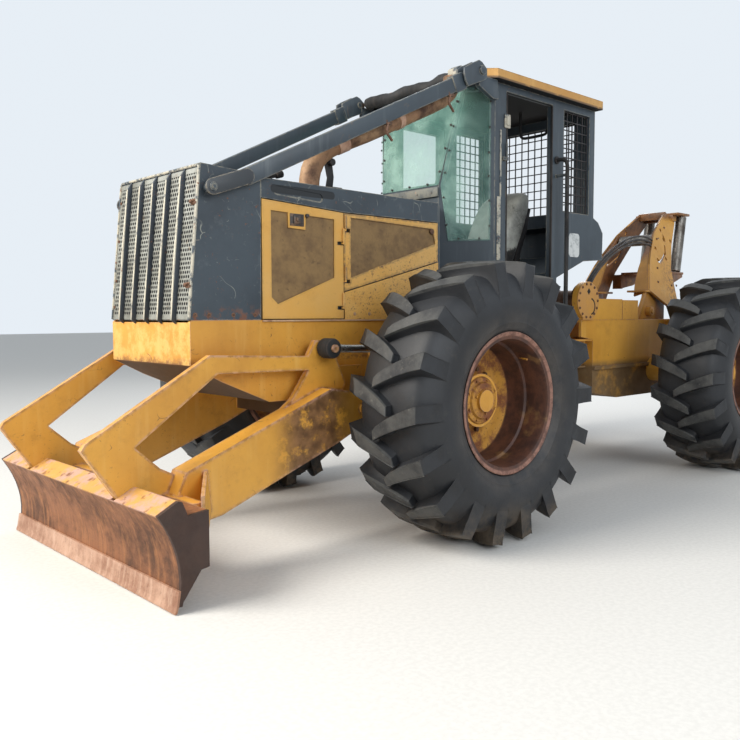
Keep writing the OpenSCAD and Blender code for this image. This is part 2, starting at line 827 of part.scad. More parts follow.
module cab_shell() {
    color(dark) placed() both_sides() for (z = cab_hinge_z) {
        translate([cab_hinge_x, cab_hinge_y, z - 30]) cylinder(r = 12, h = 25);
        translate([cab_hinge_x, cab_hinge_y, z - 30]) cylinder(r = 7, h = 130);
        block([cab_hinge_x - 8, cab_half_w - 2, z - 30], [cab_hinge_x + 40, cab_hinge_y, z - 5]);
    }
    // Grab rails behind the doorways
    color(dark) placed() both_sides() {
        translate([rail_x, rail_y, rail_low]) cylinder(r = rail_r, h = rail_high - rail_low, $fn = 12);
        for (z = [rail_low + 20, rail_high - 20]) shaft(rail_r - 2, rail_x, z, cab_half_w - 5, rail_y);
    }
    color(dark) placed() difference() {
        intersection() {
            union() {
                translate([0, 0, cab_floor - 20]) linear_extrude(cab_top - cab_floor + 20) cab_plan(0);
                block([-2300, -cab_half_w, 1860], [-2100, cab_half_w, 2240]);
            }
            slab(-700, 1400) polygon(cab_side);
            // Everything behind the windshield's plane
            slab(-700, 1400)
                polygon([
                    [shield_at(shield_z), shield_z], [shield_at(shield_z), 1200], [-2400, 1200],
                    [-2400, over_cab], [shield_at(over_cab), over_cab]
                ]);
        }
        // Hollow inside
        intersection() {
            union() {
                translate([0, 0, cab_floor]) linear_extrude(cab_top) cab_plan(cab_wall);
                block([-2250, -cab_half_w + cab_wall, 1930], [-2000, cab_half_w - cab_wall, 2190]);
            }
            slab(-700, 1400)
                polygon([
                    [0, cab_floor - 30], [0, over_cab], [-cab_back + cab_wall, over_cab],
                    [-cab_back + cab_wall, 2190], [-2235, 2160],
                    [-2235, 1935], [-1960, 1915], [-cab_low_back + cab_wall, 1760],
                    [-cab_low_back + cab_wall, cab_floor - 30]
                ]);
            slab(-700, 1400)
                polygon([
                    [shield_at(shield_z) - cab_wall, shield_z], [shield_at(shield_z) - cab_wall, 1200],
                    [-2400, 1200], [-2400, over_cab], [shield_at(over_cab) - cab_wall, over_cab]
                ]);
        }
        // Windshield opening
        shield_hole(0);
        // Quarter windows
        both_sides() quarter_hole(0);
        // Doorways
        both_sides()
            block([-doorway_back, cab_half_w - cab_wall - 20, cab_floor + 20], [-doorway_front, cab_half_w + 20, doorway_head]);
        // Rear side windows
        both_sides()
            block([-rear_pane_back, cab_half_w - cab_wall - 20, 2260], [-rear_pane_front, cab_half_w + 20, cab_top - pane_head_t]);
        // Rear window
        block([-2200, -430, 2300], [-2050, 430, cab_top - pane_head_t - 20]);
        // Open floor
        translate([0, 0, cab_floor - 40]) linear_extrude(41) intersection() {
            cab_plan(cab_wall);
            translate([-cab_low_back + cab_wall, -600]) square([2000, 1200]);
        }
    }
}

// The windshield's opening, made smaller by d all round.
module shield_hole(d, t = 300, back = 150) {
    w_low = cab_front_half_w - 40 - d;
    w_high = cab_front_half_w + 105 - d;
    low = shield_z + 22 + d;
    high = cab_top - 62 - d;
    translate([-shield_x, 0, shield_z])
        rotate([0, -shield_lean, 0])
            translate([back, 0, 0])
                rotate([0, -90, 0])
                    linear_extrude(t)
                        polygon([
                            [low - shield_z, -w_low], [low - shield_z, w_low],
                            [high - shield_z, w_high], [high - shield_z, -w_high]
                        ]);
}

// A quarter window's opening in the chamfered corner, made smaller by d all round.
module quarter_hole(d, t = 200, out = 100) {
    long = norm([cab_half_w - cab_front_half_w, post_b_x - shield_x]);
    translate([-shield_x, cab_front_half_w, 0])
        rotate([0, 0, 180 - chamfer_angle])
            translate([0, t - out, 0])
                rotate([90, 0, 0])
                    linear_extrude(t)
                        polygon([
                            [50 + d, shield_z + 20 + d], [100 + d, 1985 + d], [long - 40 - d, 1985 + d],
                            [long - 40 - d, cab_top - 62 - d], [200 + d, cab_top - 62 - d]
                        ]);
}

module cab_glass() {
    color([0.6, 0.75, 0.7, 0.5]) placed() {
        shield_hole(glass_gap, glass_t, -16);
        both_sides() quarter_hole(glass_gap, glass_t, -16);
    }
}

module cab_roof() {
    color(yellow) placed()
        translate([0, 0, cab_top + seat_gap])
            linear_extrude(roof_t)
                polygon([
                    [-640, -560], [-640, 560], [-760, 668], [-2150, 668], [-2150, -668], [-760, -668]
                ]);
}

module cab_floor_plate() {
    color(dark) placed() {
        translate([0, 0, cab_floor - 20])
            linear_extrude(12)
                intersection() {
                    cab_plan(cab_wall + 1);
                    translate([-cab_low_back + cab_wall + 1, -600]) square([2000, 1200]);
                }
    }
}

// A lattice in a w by h window, drawn in a plane, with square holes of about the given pitch.
module lattice(w, h, pitch, bar) {
    nx = round(w / pitch);
    ny = round(h / pitch);
    px = (w - bar) / nx;
    py = (h - bar) / ny;
    difference() {
        square([w, h]);
        for (i = [0 : nx - 1], j = [0 : ny - 1])
            translate([bar + i * px, bar + j * py]) square([px - bar, py - bar]);
    }
}

// Steel lattices over the rear windows.
module cab_screens() {
    side_w = rear_pane_back - rear_pane_front - 2 * glass_gap;
    color(dark) placed() {
        both_sides()
            translate([-rear_pane_back + glass_gap, cab_half_w - 20, 2260 + glass_gap])
                rotate([90, 0, 0])
                    linear_extrude(screen_bar)
                    lattice(side_w, cab_top - pane_head_t - 2260 - 2 * glass_gap, screen_pitch, screen_bar);
        translate([-cab_back + 12, -430 + glass_gap, 2300 + glass_gap])
            rotate([90, 0, 90])
                linear_extrude(screen_bar)
                    lattice(860 - 2 * glass_gap, cab_top - pane_head_t - 2320 - 2 * glass_gap, screen_pitch, screen_bar);
    }
}

module cab_door() {
    gap = 6;
    t = 45;
    color(dark) placed() on_side(false) difference() {
        union() {
            block([-doorway_back + gap, cab_half_w - t, cab_floor + 20 + gap],
                [-doorway_front - gap, cab_half_w, doorway_head - gap]);
            for (z = cab_hinge_z) {
                translate([cab_hinge_x, cab_hinge_y, z]) cylinder(r = 12, h = 90);
                block([-doorway_front - 60, cab_half_w - 2, z], [cab_hinge_x, cab_hinge_y + 4, z + 90]);
            }
        }
        for (z = cab_hinge_z) {
            translate([cab_hinge_x, cab_hinge_y, z - 1]) cylinder(r = 7.1, h = 92);
            block([-doorway_front - gap + 0.1, 0, z - 1], [cab_hinge_x + 20, cab_half_w + 5, z + 91]);
        }
        // Upper and lower windows
        block([-doorway_back + gap + 60, 0, 1980], [-doorway_front - gap - 60, 900, doorway_head - gap - 60]);
        block([-doorway_back + gap + 60, 0, 1480], [-doorway_front - gap - 60, 900, 1900]);
        // Recess for the paddle latch
        block([-doorway_back + gap + 8, cab_half_w - 12, 1925], [-doorway_back + gap + 52, 900, 2010]);
    }
    // Grab loop inside the door
    color(dark) placed() on_side(false) {
        translate([-doorway_back + 50, loop_y, 1930]) cylinder(r = 10, h = 330, $fn = 12);
        for (z = [1940, 2250]) shaft(9, -doorway_back + 50, z, loop_y, cab_half_w - t + 5);
    }
}

loop_y = cab_half_w - 95;

module seat() {
    color(pale) placed() {
        block([-1500, -200, cab_floor - 8 + seat_gap], [-1200, 200, 1640]);
        block([-1530, -250, 1640], [-1060, 250, 1770]);
        translate([-1500, -240, 1740]) rotate([0, -10, 0]) cube([110, 480, 670]);
    }
}

module steering_column() {
    color(dark) placed() {
        translate([-760, 0, cab_floor - 8 + seat_gap]) cylinder(r = 70, h = 30);
        rod([-760, 0, cab_floor + 12], [-905, 0, 2080], 35);
        translate([-905, 0, 2080]) rotate([0, -25, 0]) rotate_extrude() translate([190, 0]) circle(r = 14);
        translate([-905, 0, 2080]) rotate([0, -25, 0]) for (a = [0, 120, 240]) rotate([0, 0, a])
            translate([0, -12, -6]) cube([190, 24, 12]);
    }
}

// Engine doors, drawn closed on the left side. Both hinge on the post between them.
door_in = nose_half_w - engine_door_t + 2;
door_hinge_y = nose_half_w + door_hinge_r - 1;
door_pin_r = door_hinge_r - 4;
front_hinge_x = door_split + engine_door_gap / 2 + 6;
rear_hinge_x = door_split - engine_door_gap / 2 - 6;

// Hinges: x, foot of the barrel, side the door lies on
ENGINE_HINGES = [
    [front_hinge_x, 1480, 1], [front_hinge_x, 1890, 1], [rear_hinge_x, 1650, -1], [rear_hinge_x, 1975, -1]
];

module door_barrels(side) {
    for (h = ENGINE_HINGES) if (h[2] == side)
        translate([h[0], door_hinge_y, h[1]]) cylinder(r = door_hinge_r, h = 80);
}

// Bores of the barrels and the room for the hinge lugs.
module door_cuts(side) {
    for (h = ENGINE_HINGES) if (h[2] == side) {
        translate([h[0], door_hinge_y, h[1] - 10]) cylinder(r = door_pin_r + 0.1, h = 110);
        translate([h[0] + (side > 0 ? -30 : -45), 400, h[1] - 23]) cube([75, 200, 23]);
    }
}

module engine_door_front(left) {
    x0 = door_split + engine_door_gap / 2;
    x1 = 1195;
    low = frame_top + engine_door_gap;
    color(yellow) placed() on_side(left) difference() {
        union() {
            slab(door_in, nose_half_w - door_in)
                polygon([
                    [x0, low], [x1, low], [x1, band(x1) - engine_door_gap], [x0, band(x0) - engine_door_gap]
                ]);
            door_barrels(1);
        }
        slab(nose_half_w - screen_recess, 60)
            polygon([
                [640, 1659], [1084, 1489], [1129, 1530], [1129, 2044], [1005, 2040], [1001, 1950], [871, 1945],
                [868, 2034], [640, 2026]
            ]);
        door_cuts(1);
    }
}

module engine_door_rear(left) {
    x0 = hood_back + 4;
    x1 = door_split - engine_door_gap / 2;
    high = band_back - engine_door_gap;
    color(yellow) placed() on_side(left) difference() {
        union() {
            slab(door_in, nose_half_w - door_in)
                polygon([[x1, rear_door_low_front], [x1, high], [x0, high], [x0, rear_door_low_back]]);
            door_barrels(-1);
        }
        slab(nose_half_w - screen_recess, 60)
            polygon([[500, 1664], [500, 2048], [-270, 2028], [-300, 1925]]);
        door_cuts(-1);
    }
}

module engine_door_left_front() { engine_door_front(true); }
module engine_door_left_rear() { engine_door_rear(true); }
module engine_door_right_front() { engine_door_front(false); }
module engine_door_right_rear() { engine_door_rear(false); }

// Blade

module arm_profile() {
    polygon([
        [1849, 599], [853, 978], [blade_pivot_x - 20, blade_pivot_z + 95], [blade_pivot_x - 20, blade_pivot_z - 95],
        [797, 649], [1634, 339], [1880, 300], [1930, 420]
    ]);
    translate([blade_pivot_x, blade_pivot_z]) circle(r = 95);
}

module carrier_profile() {
    difference() {
        polygon([
            [front_reach, 757], [front_reach - 22, 790], [1629, 1204], [945, 1176], [890, 1270], [780, 1270], [650, 1000],
            [700, 900], [1400, 640], [1900, 420], [2171, 473]
        ]);
        polygon([
            [945, 1091], [1580, 1099], [2081, 744], [1941, 620], [1851, 574], [1270, 775], [1070, 920]
        ]);
    }
}

module blade_carrier() {
    color(yellow) placed() {
        both_sides() difference() {
            union() {
                slab(carrier_y, carrier_t) carrier_profile();
                slab(carrier_y, arm_out_y - carrier_y) arm_profile();
                shaft(lift_pin_r, lift_eye_x, lift_eye_z, carrier_y, lift_y + 60);
                // Flared plates to the blade's back
                hull() {
                    slab(arm_out_y - 10, 5) polygon([[1700, 380], [1720, 600], [1740, 600], [1720, 380]]);
                    slab(930, 5) polygon([[1880, 200], [1880, 520], [1900, 520], [1900, 200]]);
                }
            }
            shaft(blade_pin_r + 0.5, blade_pivot_x, blade_pivot_z, 300, 900);
        }
        // Back of the blade
        block([1860, -900, 190], [1930, 900, 480]);
    }
}

function blade_face(z) = blade_x + (z / blade_h) * 91 - blade_hollow * 4 * (z / blade_h) * (1 - z / blade_h);

module blade() {
    n = 8;
    z0 = blade_rest + 30;
    half = blade_w / 2;
    color(rust) placed() difference() {
        blade_plates(half, n, z0);
        // Slots for the carrier plates
        both_sides() slab(carrier_y - seat_gap, carrier_t + 2 * seat_gap)
            polygon([[1850, 400], [2180, 464], [2420, 740], [2420, 900], [1850, 900]]);
    }
}

module blade_plates(half, n, z0) {
    function at(i) = (i == 0) ? z0 : edge_h + (blade_h - edge_h) * (i - 1) / (n - 1);
    union() {
        slab(-half, blade_w)
            polygon(concat(
                [for (i = [0 : n]) [blade_face(at(i)) - 12 - seat_gap, at(i)]],
                [[blade_x - 30, blade_h + 56], [blade_x - 50, blade_h + 50]],
                [for (i = [n : -1 : 0]) [blade_face(at(i)) - 12 - seat_gap - blade_t, at(i)]]
            ));
        both_sides() slab(half - 20, 20)
            polygon(concat(
                [for (i = [n : -1 : 0]) [blade_face(at(i)) - 12 - seat_gap - blade_t / 2, at(i)]],
                [[1945, 235], [blade_x - 50, blade_h + 50]]
            ));
        slab(-half, blade_w)
            polygon([[1930 + seat_gap, 480], [1930 + seat_gap, 200], [blade_face(200) - 30, 180], [blade_face(400) - 30, 460]]);
    }
}

module cutting_edge() {
    half = blade_w / 2;
    foot = blade_rest + 30;
    color(pale) placed()
        slab(-half, blade_w)
            polygon([
                [blade_x, blade_rest], [blade_face(foot), foot], [blade_face(edge_h), edge_h],
                [blade_face(edge_h) - 12, edge_h], [blade_face(foot) - 12, foot], [blade_x - 12, blade_rest]
            ]);
}

// Lift cylinders

lift_len = norm([lift_eye_x + lift_hinge_x, lift_eye_z - lift_hinge_z]);

module along_lift(left) {
    placed() on_side(left)
        translate([-lift_hinge_x, lift_y, lift_hinge_z])
            rotate([0, -atan2(lift_eye_z - lift_hinge_z, lift_eye_x + lift_hinge_x), 0])
                children();
}

module lift_barrel(left) {
    body_len = 790;
    color(yellow) along_lift(left) difference() {
        union() {
            rotate([90, 0, 0]) translate([0, 0, -45]) cylinder(r = 48, h = 90);
            rotate([0, 90, 0]) translate([0, 0, 30]) cylinder(r = lift_barrel_r, h = body_len);
        }
        rotate([90, 0, 0]) translate([0, 0, -60]) cylinder(r = lift_pin_r + 0.3, h = 120);
        rotate([0, 90, 0]) translate([0, 0, 90]) cylinder(r = lift_rod_r + 0.3, h = body_len);
    }
}

module lift_rod(left) {
    eye_r = lift_pin_r + lift_eye_play;
    color(steel) along_lift(left) difference() {
        union() {
            rotate([0, 90, 0]) translate([0, 0, 560]) cylinder(r = lift_rod_r, h = lift_len - 560 - eye_r - 8);
            translate([lift_len, 0, 0]) rotate([90, 0, 0]) translate([0, 0, -35]) cylinder(r = eye_r + 20, h = 70);
        }
        translate([lift_len, 0, 0]) rotate([90, 0, 0]) translate([0, 0, -60]) cylinder(r = eye_r, h = 120);
    }
}

module lift_barrel_left() { lift_barrel(true); }
module lift_barrel_right() { lift_barrel(false); }
module lift_rod_left() { lift_rod(true); }
module lift_rod_right() { lift_rod(false); }

// Steering cylinders

steer_run = [-(steer_eye_x - steer_hinge_x), steer_eye_y - steer_hinge_y];
steer_len = norm(steer_run);

module along_steer(left) {
    placed() on_side(left)
        translate([-steer_hinge_x, steer_hinge_y, steer_z])
            rotate([0, 0, atan2(steer_run.y, steer_run.x)])
                children();
}

module steer_barrel(left) {
    body_len = 600;
    color(yellow) along_steer(left) difference() {
        union() {
            translate([0, 0, -36]) cylinder(r = 42, h = 72);
            rotate([0, 90, 0]) translate([0, 0, 25]) cylinder(r = steer_barrel_r, h = body_len);
        }
        translate([0, 0, -60]) cylinder(r = steer_pin_r + 0.3, h = 120);
        rotate([0, 90, 0]) translate([0, 0, 80]) cylinder(r = steer_rod_r + 0.3, h = body_len);
    }
}

module steer_rod(left) {
    color(steel) along_steer(left) {
        rotate([0, 90, 0]) translate([0, 0, 430]) cylinder(r = steer_rod_r, h = steer_len - 430 - 20);
        translate([steer_len, 0, -32]) cylinder(r = 38, h = 64);
    }
}

module steer_barrel_left() { steer_barrel(true); }
module steer_barrel_right() { steer_barrel(false); }
module steer_rod_left() { steer_rod(true); }
module steer_rod_right() { steer_rod(false); }

// Rear frame

module rear_frame() {
    color(yellow) placed() difference() {
        union() {
            // Side plates
            both_sides() slab(rear_half_w - frame_t, frame_t)
                polygon([
                    [-rear_front, deck_z], [-rear_front, deck_z - 150], [-2480, deck_z - 180], [-2480, rear_low_z],
                    [-2480, rear_belly_z + 70], [-2900, rear_belly_z], [-3950, rear_belly_z], [-rear_back, 760],
                    [-rear_back, deck_z]
                ]);
            // Deck
            block([-rear_back, -rear_half_w, deck_z - 20], [-rear_front, rear_half_w, deck_z]);
            // Front plate
            block([-2505, -rear_half_w, rear_belly_z + 80], [-2480, rear_half_w, deck_z]);
            // Belly
            slab(-rear_half_w, 2 * rear_half_w)
                polygon([
                    [-2480, rear_belly_z + 70], [-2900, rear_belly_z], [-3950, rear_belly_z], [-rear_back, 760],
                    [-rear_back, 760 + belly_t], [-3950, rear_belly_z + belly_t], [-2900, rear_belly_z + belly_t],
                    [-2480, rear_belly_z + 70 + belly_t]
                ]);
            // Flared sides that carry the arch
            both_sides() hull() {
                block([-rear_back, rear_half_w - 10, deck_z - 20], [-arch_foot_x, arch_out(deck_z), deck_z]);
                block([-rear_back, rear_half_w - 10, deck_z - 330], [-arch_foot_x - 160, rear_half_w - 5, deck_z - 300]);
            }
            // Step at the front, with its ribs
            block([-2500, -rear_half_w + 5, deck_z - 190], [-2170, rear_half_w - 5, deck_z - 172]);
            both_sides() for (x = [-2300, -2400])
                block([x, rear_half_w - 110, deck_z - 290], [x + 16, rear_half_w - 30, deck_z - 180]);
            // Lower edge rail of the side plates
            both_sides() block([-3940, rear_half_w - 10, rear_low_z - 30], [-2480, rear_half_w + 25, rear_low_z]);
            // Butt plate
            block([-rear_back - 30, -butt_half_w, 560], [-rear_back, butt_half_w, deck_z]);
            // Articulation lugs with their spine
            for (z = [joint_top_z, joint_low_z])
                translate([0, 0, z - joint_lug_t / 2])
                    linear_extrude(joint_lug_t)
                        union() {
                            translate([-pivot_back, 0]) circle(r = 90);
                            polygon([[-pivot_back, -90], [-pivot_back, 90], [-2490, 240], [-2490, -240]]);
                        }
            block([-2490, -30, joint_low_z], [-2010, 30, joint_top_z]);
            // Steering lugs
            both_sides()
                for (s = [-1, 1])
                    translate([0, 0, steer_z + s * 48 - 8])
                        linear_extrude(16)
                            polygon([
                                [-steer_eye_x + 45, steer_eye_y + 40], [-steer_eye_x + 45, steer_eye_y - 45],
                                [-2490, 200], [-2490, 330], [-steer_eye_x - 45, steer_eye_y + 45]
                            ]);
            // Hitch
            for (z = [700, 780])
                translate([0, 0, z])
                    linear_extrude(25)
                        polygon([[-rear_back - 20, -90], [-rear_back - 20, 90], [-rear_back - 130, 50], [-rear_back - 130, -50]]);
        }
        for (z = [joint_top_z, joint_low_z])
            translate([-pivot_back, 0, z - 60]) cylinder(r = joint_pin_r + joint_pin_gap, h = 120);
        shaft(axle_tube_d / 2 + seat_gap, -wheelbase, axle_z, -700, 700);
        shaft(axle_case_r + seat_gap, -wheelbase, axle_z, -200, 200);
        translate([-rear_back - 90, 0, 650]) cylinder(r = hitch_r, h = 200);
    }
}

// Winch

module winch() {
    color(yellow) placed()
        block([-winch_x - 80, -winch_half_w + 59, deck_z + seat_gap], [-winch_x + 80, winch_half_w - 59, deck_z + 14]);
    color(yellow) placed() both_sides() difference() {
        union() {
            shaft(winch_cover_r, -winch_x, winch_z, winch_half_w - 60, winch_half_w);
            block([-2970, winch_half_w - 50, deck_z + seat_gap], [-winch_x, winch_half_w - 15, winch_z + 20]);
            block([-2970, 200, deck_z + seat_gap], [-2640, winch_half_w - 15, winch_z + 10]);
            block([-3260, 200, deck_z + seat_gap], [-2978, winch_half_w - 15, winch_z + 12]);
            block([-winch_x - 80, winch_half_w - 60, deck_z + seat_gap], [-winch_x + 80, winch_half_w, winch_z]);
        }
        shaft(40.3, -winch_x, winch_z, 0, winch_half_w - 20);
    }
}

module winch_drum() {
    color(rust) placed() {
        shaft(drum_r, -winch_x, winch_z, -winch_half_w + 75, winch_half_w - 75);
        shaft(40, -winch_x, winch_z, -winch_half_w + 25, winch_half_w - 25);
        for (y = [-winch_half_w + 70, winch_half_w - 90])
            shaft(150, -winch_x, winch_z, y, y + 20);
    }
}

// Arch: two side plates that lean towards each other, with the rollers between and behind them.

arch_foot_x = 3800;
arch_back_x = 4070;
arch_lean = atan(arch_slope);
function arch_out(z) = rear_half_w - (z - arch_knee) * arch_slope;

arch_top_s = (arch_top - arch_knee) / cos(arch_lean);
arch_foot_s = (deck_z + seat_gap - arch_knee) / cos(arch_lean);

// Side profile in a leaning plate: x, and the distance up the plate from its knee.
arch_profile = [
    [-4246, arch_top_s], [-4412, 792], [-4194, 506], [-4041, 234], [-4002, -107], [-arch_back_x, arch_foot_s],
    [-arch_foot_x, arch_foot_s], [-3781, -157], [-3487, 0], [-3624, 277], [-3720, 419], [-3892, 629],
    [-4045, 742]
];

// Holes in the plates: four round ones, a pear and a hook
arch_holes = [[-4034, 665], [-4191, 555], [-3830, 458], [-3994, 349]];
arch_pear = [
    [-4060, 628], [-4036, 572], [-4038, 550], [-4050, 536], [-4070, 536], [-4082, 550], [-4084, 572]
];
arch_hook = [
    [-4060, 505], [-4036, 505], [-4000, 420], [-3900, 345], [-3852, 320], [-3834, 332], [-3816, 352],
    [-3797, 345], [-3808, 312], [-3842, 290], [-3880, 305], [-4020, 400]
];

// A piece in the leaning plane of the left plate, from y0 inwards by t.
module leaning(y0, t) {
    translate([0, rear_half_w, arch_knee]) rotate([arch_lean, 0, 0]) slab(y0 - t, t) children();
}

module arch() {
    carrier_low = 1850;
    carrier_high = 2480;
    carrier_half = roller_y + 66;
    color(yellow) placed() {
        difference() {
            union() {
                both_sides() {
                    leaning(0, arch_t) polygon(arch_profile);
                    // Gussets that carry the lower roller carrier
                    leaning(0, arch_t)
                        polygon([[-4030, 90], [-4100, 340], [-4460, 250], [-4490, 190], [-4300, 150]]);
                }
                // Carriers of the standing rollers
                block([-rear_reach, -carrier_half, carrier_high], [-4340, carrier_half, carrier_high + 24]);
                block([-4505, -340, carrier_low], [-4255, 340, carrier_low + 24]);
            }
            // Holes in the plates
            both_sides() leaning(50, 150) {
                for (h = arch_holes) translate(h) circle(r = 19, $fn = 10);
                polygon(arch_pear);
                polygon(arch_hook);
            }
            // Flat feet on the deck
            block([-4800, -600, deck_z - 200], [-3000, 600, deck_z + seat_gap]);
            both_sides() rod(roller_foot - 60 * roller_way, roller_head + 60 * roller_way, 18.1);
            shaft(18.1, cross_x, cross_z, -400, 400);
        }
        // Front flanges, widest at the foot
        both_sides() intersection() {
            leaning(-1, 200)
                polygon([
                    [-3487, 0], [-3624, 277], [-3720, 419], [-3892, 629], [-4045, 742], [-4062, 722], [-3909, 612],
                    [-3740, 407], [-3644, 270], [-3507, 0]
                ]);
            translate([0, rear_half_w, arch_knee]) rotate([arch_lean, 0, 0]) rotate([90, 0, -90])
                translate([0, 0, 3300]) linear_extrude(900)
                    polygon([[1, -1], [180, -1], [165, 150], [90, 420], [27, 530], [26, 760], [1, 760]]);
        }
        // Cap over the top
        slab(-arch_out(arch_top) - 4, 2 * arch_out(arch_top) + 8)
            polygon([
                [-4246, arch_top], [-4412, 2440], [-4412, 2416], [-4250, arch_top - 28], [-4246, arch_top - 80],
                [-4226, arch_top - 80], [-4226, arch_top - 8]
            ]);
        block([-4420, -carrier_half + 60, 2418], [-4340, carrier_half - 60, carrier_high + 5]);
        both_sides() {
            // Foot shelf with the gusset, the strut and its pin
            block([-3800, 190, arch_knee - 20], [-3420, rear_half_w - 2, arch_knee]);
            slab(rear_half_w - 60, 20)
                polygon([
                    [-3450, arch_knee - 10], [-3380, deck_z + seat_gap], [-arch_foot_x - 60, deck_z + seat_gap],
                    [-arch_foot_x - 60, arch_knee - 10]
                ]);
            slab(rear_half_w - 42, 22)
                polygon([
                    [-3440, arch_knee - 10], [-3270, deck_z + seat_gap], [-3320, deck_z + seat_gap],
                    [-3480, arch_knee - 10]
                ]);
            shaft(46, -3520, 1453, rear_half_w - 50, rear_half_w + 14);
            shaft(24, -3520, 1453, rear_half_w - 50, rear_half_w + 26);
        }
    }
}

// The cross roller at the arch's throat, and the standing rollers that lean back behind it.
cross_x = -3945;
cross_z = 2195;
roller_foot = [-4428, roller_y, 1886];
roller_head = [-4538, roller_y, 2468];
roller_way = unit(roller_head - roller_foot);

module fairlead(left) {
    color(steel) placed() on_side(left) {
        rod(roller_foot, roller_head, roller_r);
        rod(roller_foot - 42 * roller_way, roller_head + 40 * roller_way, 18);
    }
}

module fairlead_left() { fairlead(true); }
module fairlead_right() { fairlead(false); }

module fairlead_cross() {
    in = arch_out(cross_z + roller_r) - arch_t - 12;
    color(steel) placed() {
        shaft(roller_r, cross_x, cross_z, -in, in);
        shaft(18, cross_x, cross_z, -arch_out(cross_z) + 2, arch_out(cross_z) - 2);
    }
}

front_frame();
front_axle();
engine();
radiator_shroud();
grille();
hood();
exhaust();
limb_risers();
cab_shell();
cab_roof();
cab_floor_plate();
cab_glass();
cab_screens();
cab_door();
seat();
steering_column();
engine_door_left_front();
engine_door_left_rear();
engine_door_right_front();
engine_door_right_rear();
blade_carrier();
blade();
cutting_edge();
lift_barrel_left();
lift_barrel_right();
lift_rod_left();
lift_rod_right();
steer_barrel_left();
steer_barrel_right();
steer_rod_left();
steer_rod_right();
rear_frame();
rear_axle();
winch();
winch_drum();
arch();
fairlead_left();
fairlead_right();
fairlead_cross();
tyre_front_left();
tyre_front_right();
tyre_rear_left();
tyre_rear_right();
rim_front_left();
rim_front_right();
rim_rear_left();
rim_rear_right();
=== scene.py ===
import bpy, bmesh, math
from mathutils import Matrix, Vector


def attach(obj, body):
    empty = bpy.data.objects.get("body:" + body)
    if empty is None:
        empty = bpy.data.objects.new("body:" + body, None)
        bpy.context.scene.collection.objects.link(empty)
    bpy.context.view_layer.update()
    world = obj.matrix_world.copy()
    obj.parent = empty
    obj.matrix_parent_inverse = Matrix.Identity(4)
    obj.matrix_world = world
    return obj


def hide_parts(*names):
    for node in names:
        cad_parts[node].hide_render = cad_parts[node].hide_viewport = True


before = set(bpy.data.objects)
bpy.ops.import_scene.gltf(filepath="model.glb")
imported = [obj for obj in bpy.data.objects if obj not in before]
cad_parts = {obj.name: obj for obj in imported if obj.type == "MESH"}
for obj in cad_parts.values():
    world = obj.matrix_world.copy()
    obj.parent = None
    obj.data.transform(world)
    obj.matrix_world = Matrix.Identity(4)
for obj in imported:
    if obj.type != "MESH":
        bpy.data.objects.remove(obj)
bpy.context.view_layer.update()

# A cable skidder. Places are written as in the part's source: millimetres from the front axle.
AXLE_X, WHEELBASE, WHEEL_OUT, WHEEL_HIGH = 1117.5, 3560, 1125, 880
SIDES = (("left", 1), ("right", -1))


def row_x(x):
    """A place along the machine, in metres in the shared frame."""
    return (x + AXLE_X) / 1000


def place(x, y, z):
    """A point of the machine, in metres in the shared frame."""
    return Vector((row_x(x), y / 1000, z / 1000))


def unplace(p):
    """A point of the shared frame, back in the machine's millimetres."""
    return (p.x * 1000 - AXLE_X, p.y * 1000, p.z * 1000)


def set_down(name, data):
    """Adds an object to the scene."""
    thing = bpy.data.objects.new(name, data)
    bpy.context.scene.collection.objects.link(thing)
    return thing


# Camera, at the photograph's angle

# Its place in metres, its turn, tip and roll in degrees, and its lens in pixels of the picture
CAMERA_AT, CAMERA_TURNS = (5.1035, 4.449, 1.424), (227.397, -3.894, -0.134)
LENS, PICTURE, SENSOR = 811.674, 740, 36


def stand_camera():
    """Stands the camera where the photograph was taken from."""
    yaw, pitch, roll = (math.radians(a) for a in CAMERA_TURNS)
    ahead = Vector((math.cos(yaw) * math.cos(pitch), math.sin(yaw) * math.cos(pitch), math.sin(pitch)))
    level = Vector((math.sin(yaw), -math.cos(yaw), 0))
    upright = level.cross(ahead)
    right = level * math.cos(roll) + upright * math.sin(roll)
    up = upright * math.cos(roll) - level * math.sin(roll)
    data = bpy.data.cameras.new("camera")
    data.sensor_width = SENSOR
    data.lens = SENSOR * LENS / PICTURE
    camera = set_down("camera", data)
    turn = Matrix((right, up, -ahead)).transposed().to_4x4()
    camera.matrix_world = Matrix.Translation(CAMERA_AT) @ turn
    bpy.context.scene.camera = camera


# Shader maths

class Field:
    """A shader socket that can be written in sums."""

    def __init__(self, owner, socket):
        self.owner, self.socket = owner, socket

    def sum(self, operation, *terms):
        """Adds a Math node."""
        return self.owner.node("ShaderNodeMath", {"operation": operation}, dict(enumerate(terms)))

    def __add__(self, other):
        return self.sum("ADD", self, other)

    def __radd__(self, other):
        return self.sum("ADD", other, self)

    def __sub__(self, other):
        return self.sum("SUBTRACT", self, other)

    def __rsub__(self, other):
        return self.sum("SUBTRACT", other, self)

    def __mul__(self, other):
        return self.sum("MULTIPLY", self, other)

    def __rmul__(self, other):
        return self.sum("MULTIPLY", other, self)

    def __pow__(self, other):
        return self.sum("POWER", self, other)

    def size(self):
        """The value without its sign."""
        return self.sum("ABSOLUTE", self)

    def most(self, other):
        """The larger of two values."""
        return self.sum("MAXIMUM", self, other)

    def step(self, low, high):
        """Runs smoothly from 0 to 1 as the value goes from low to high."""
        smooth = {"interpolation_type": "SMOOTHSTEP", "clamp": True}
        sockets = {"Value": self, "From Min": low, "From Max": high}
        return self.owner.node("ShaderNodeMapRange", smooth, sockets)


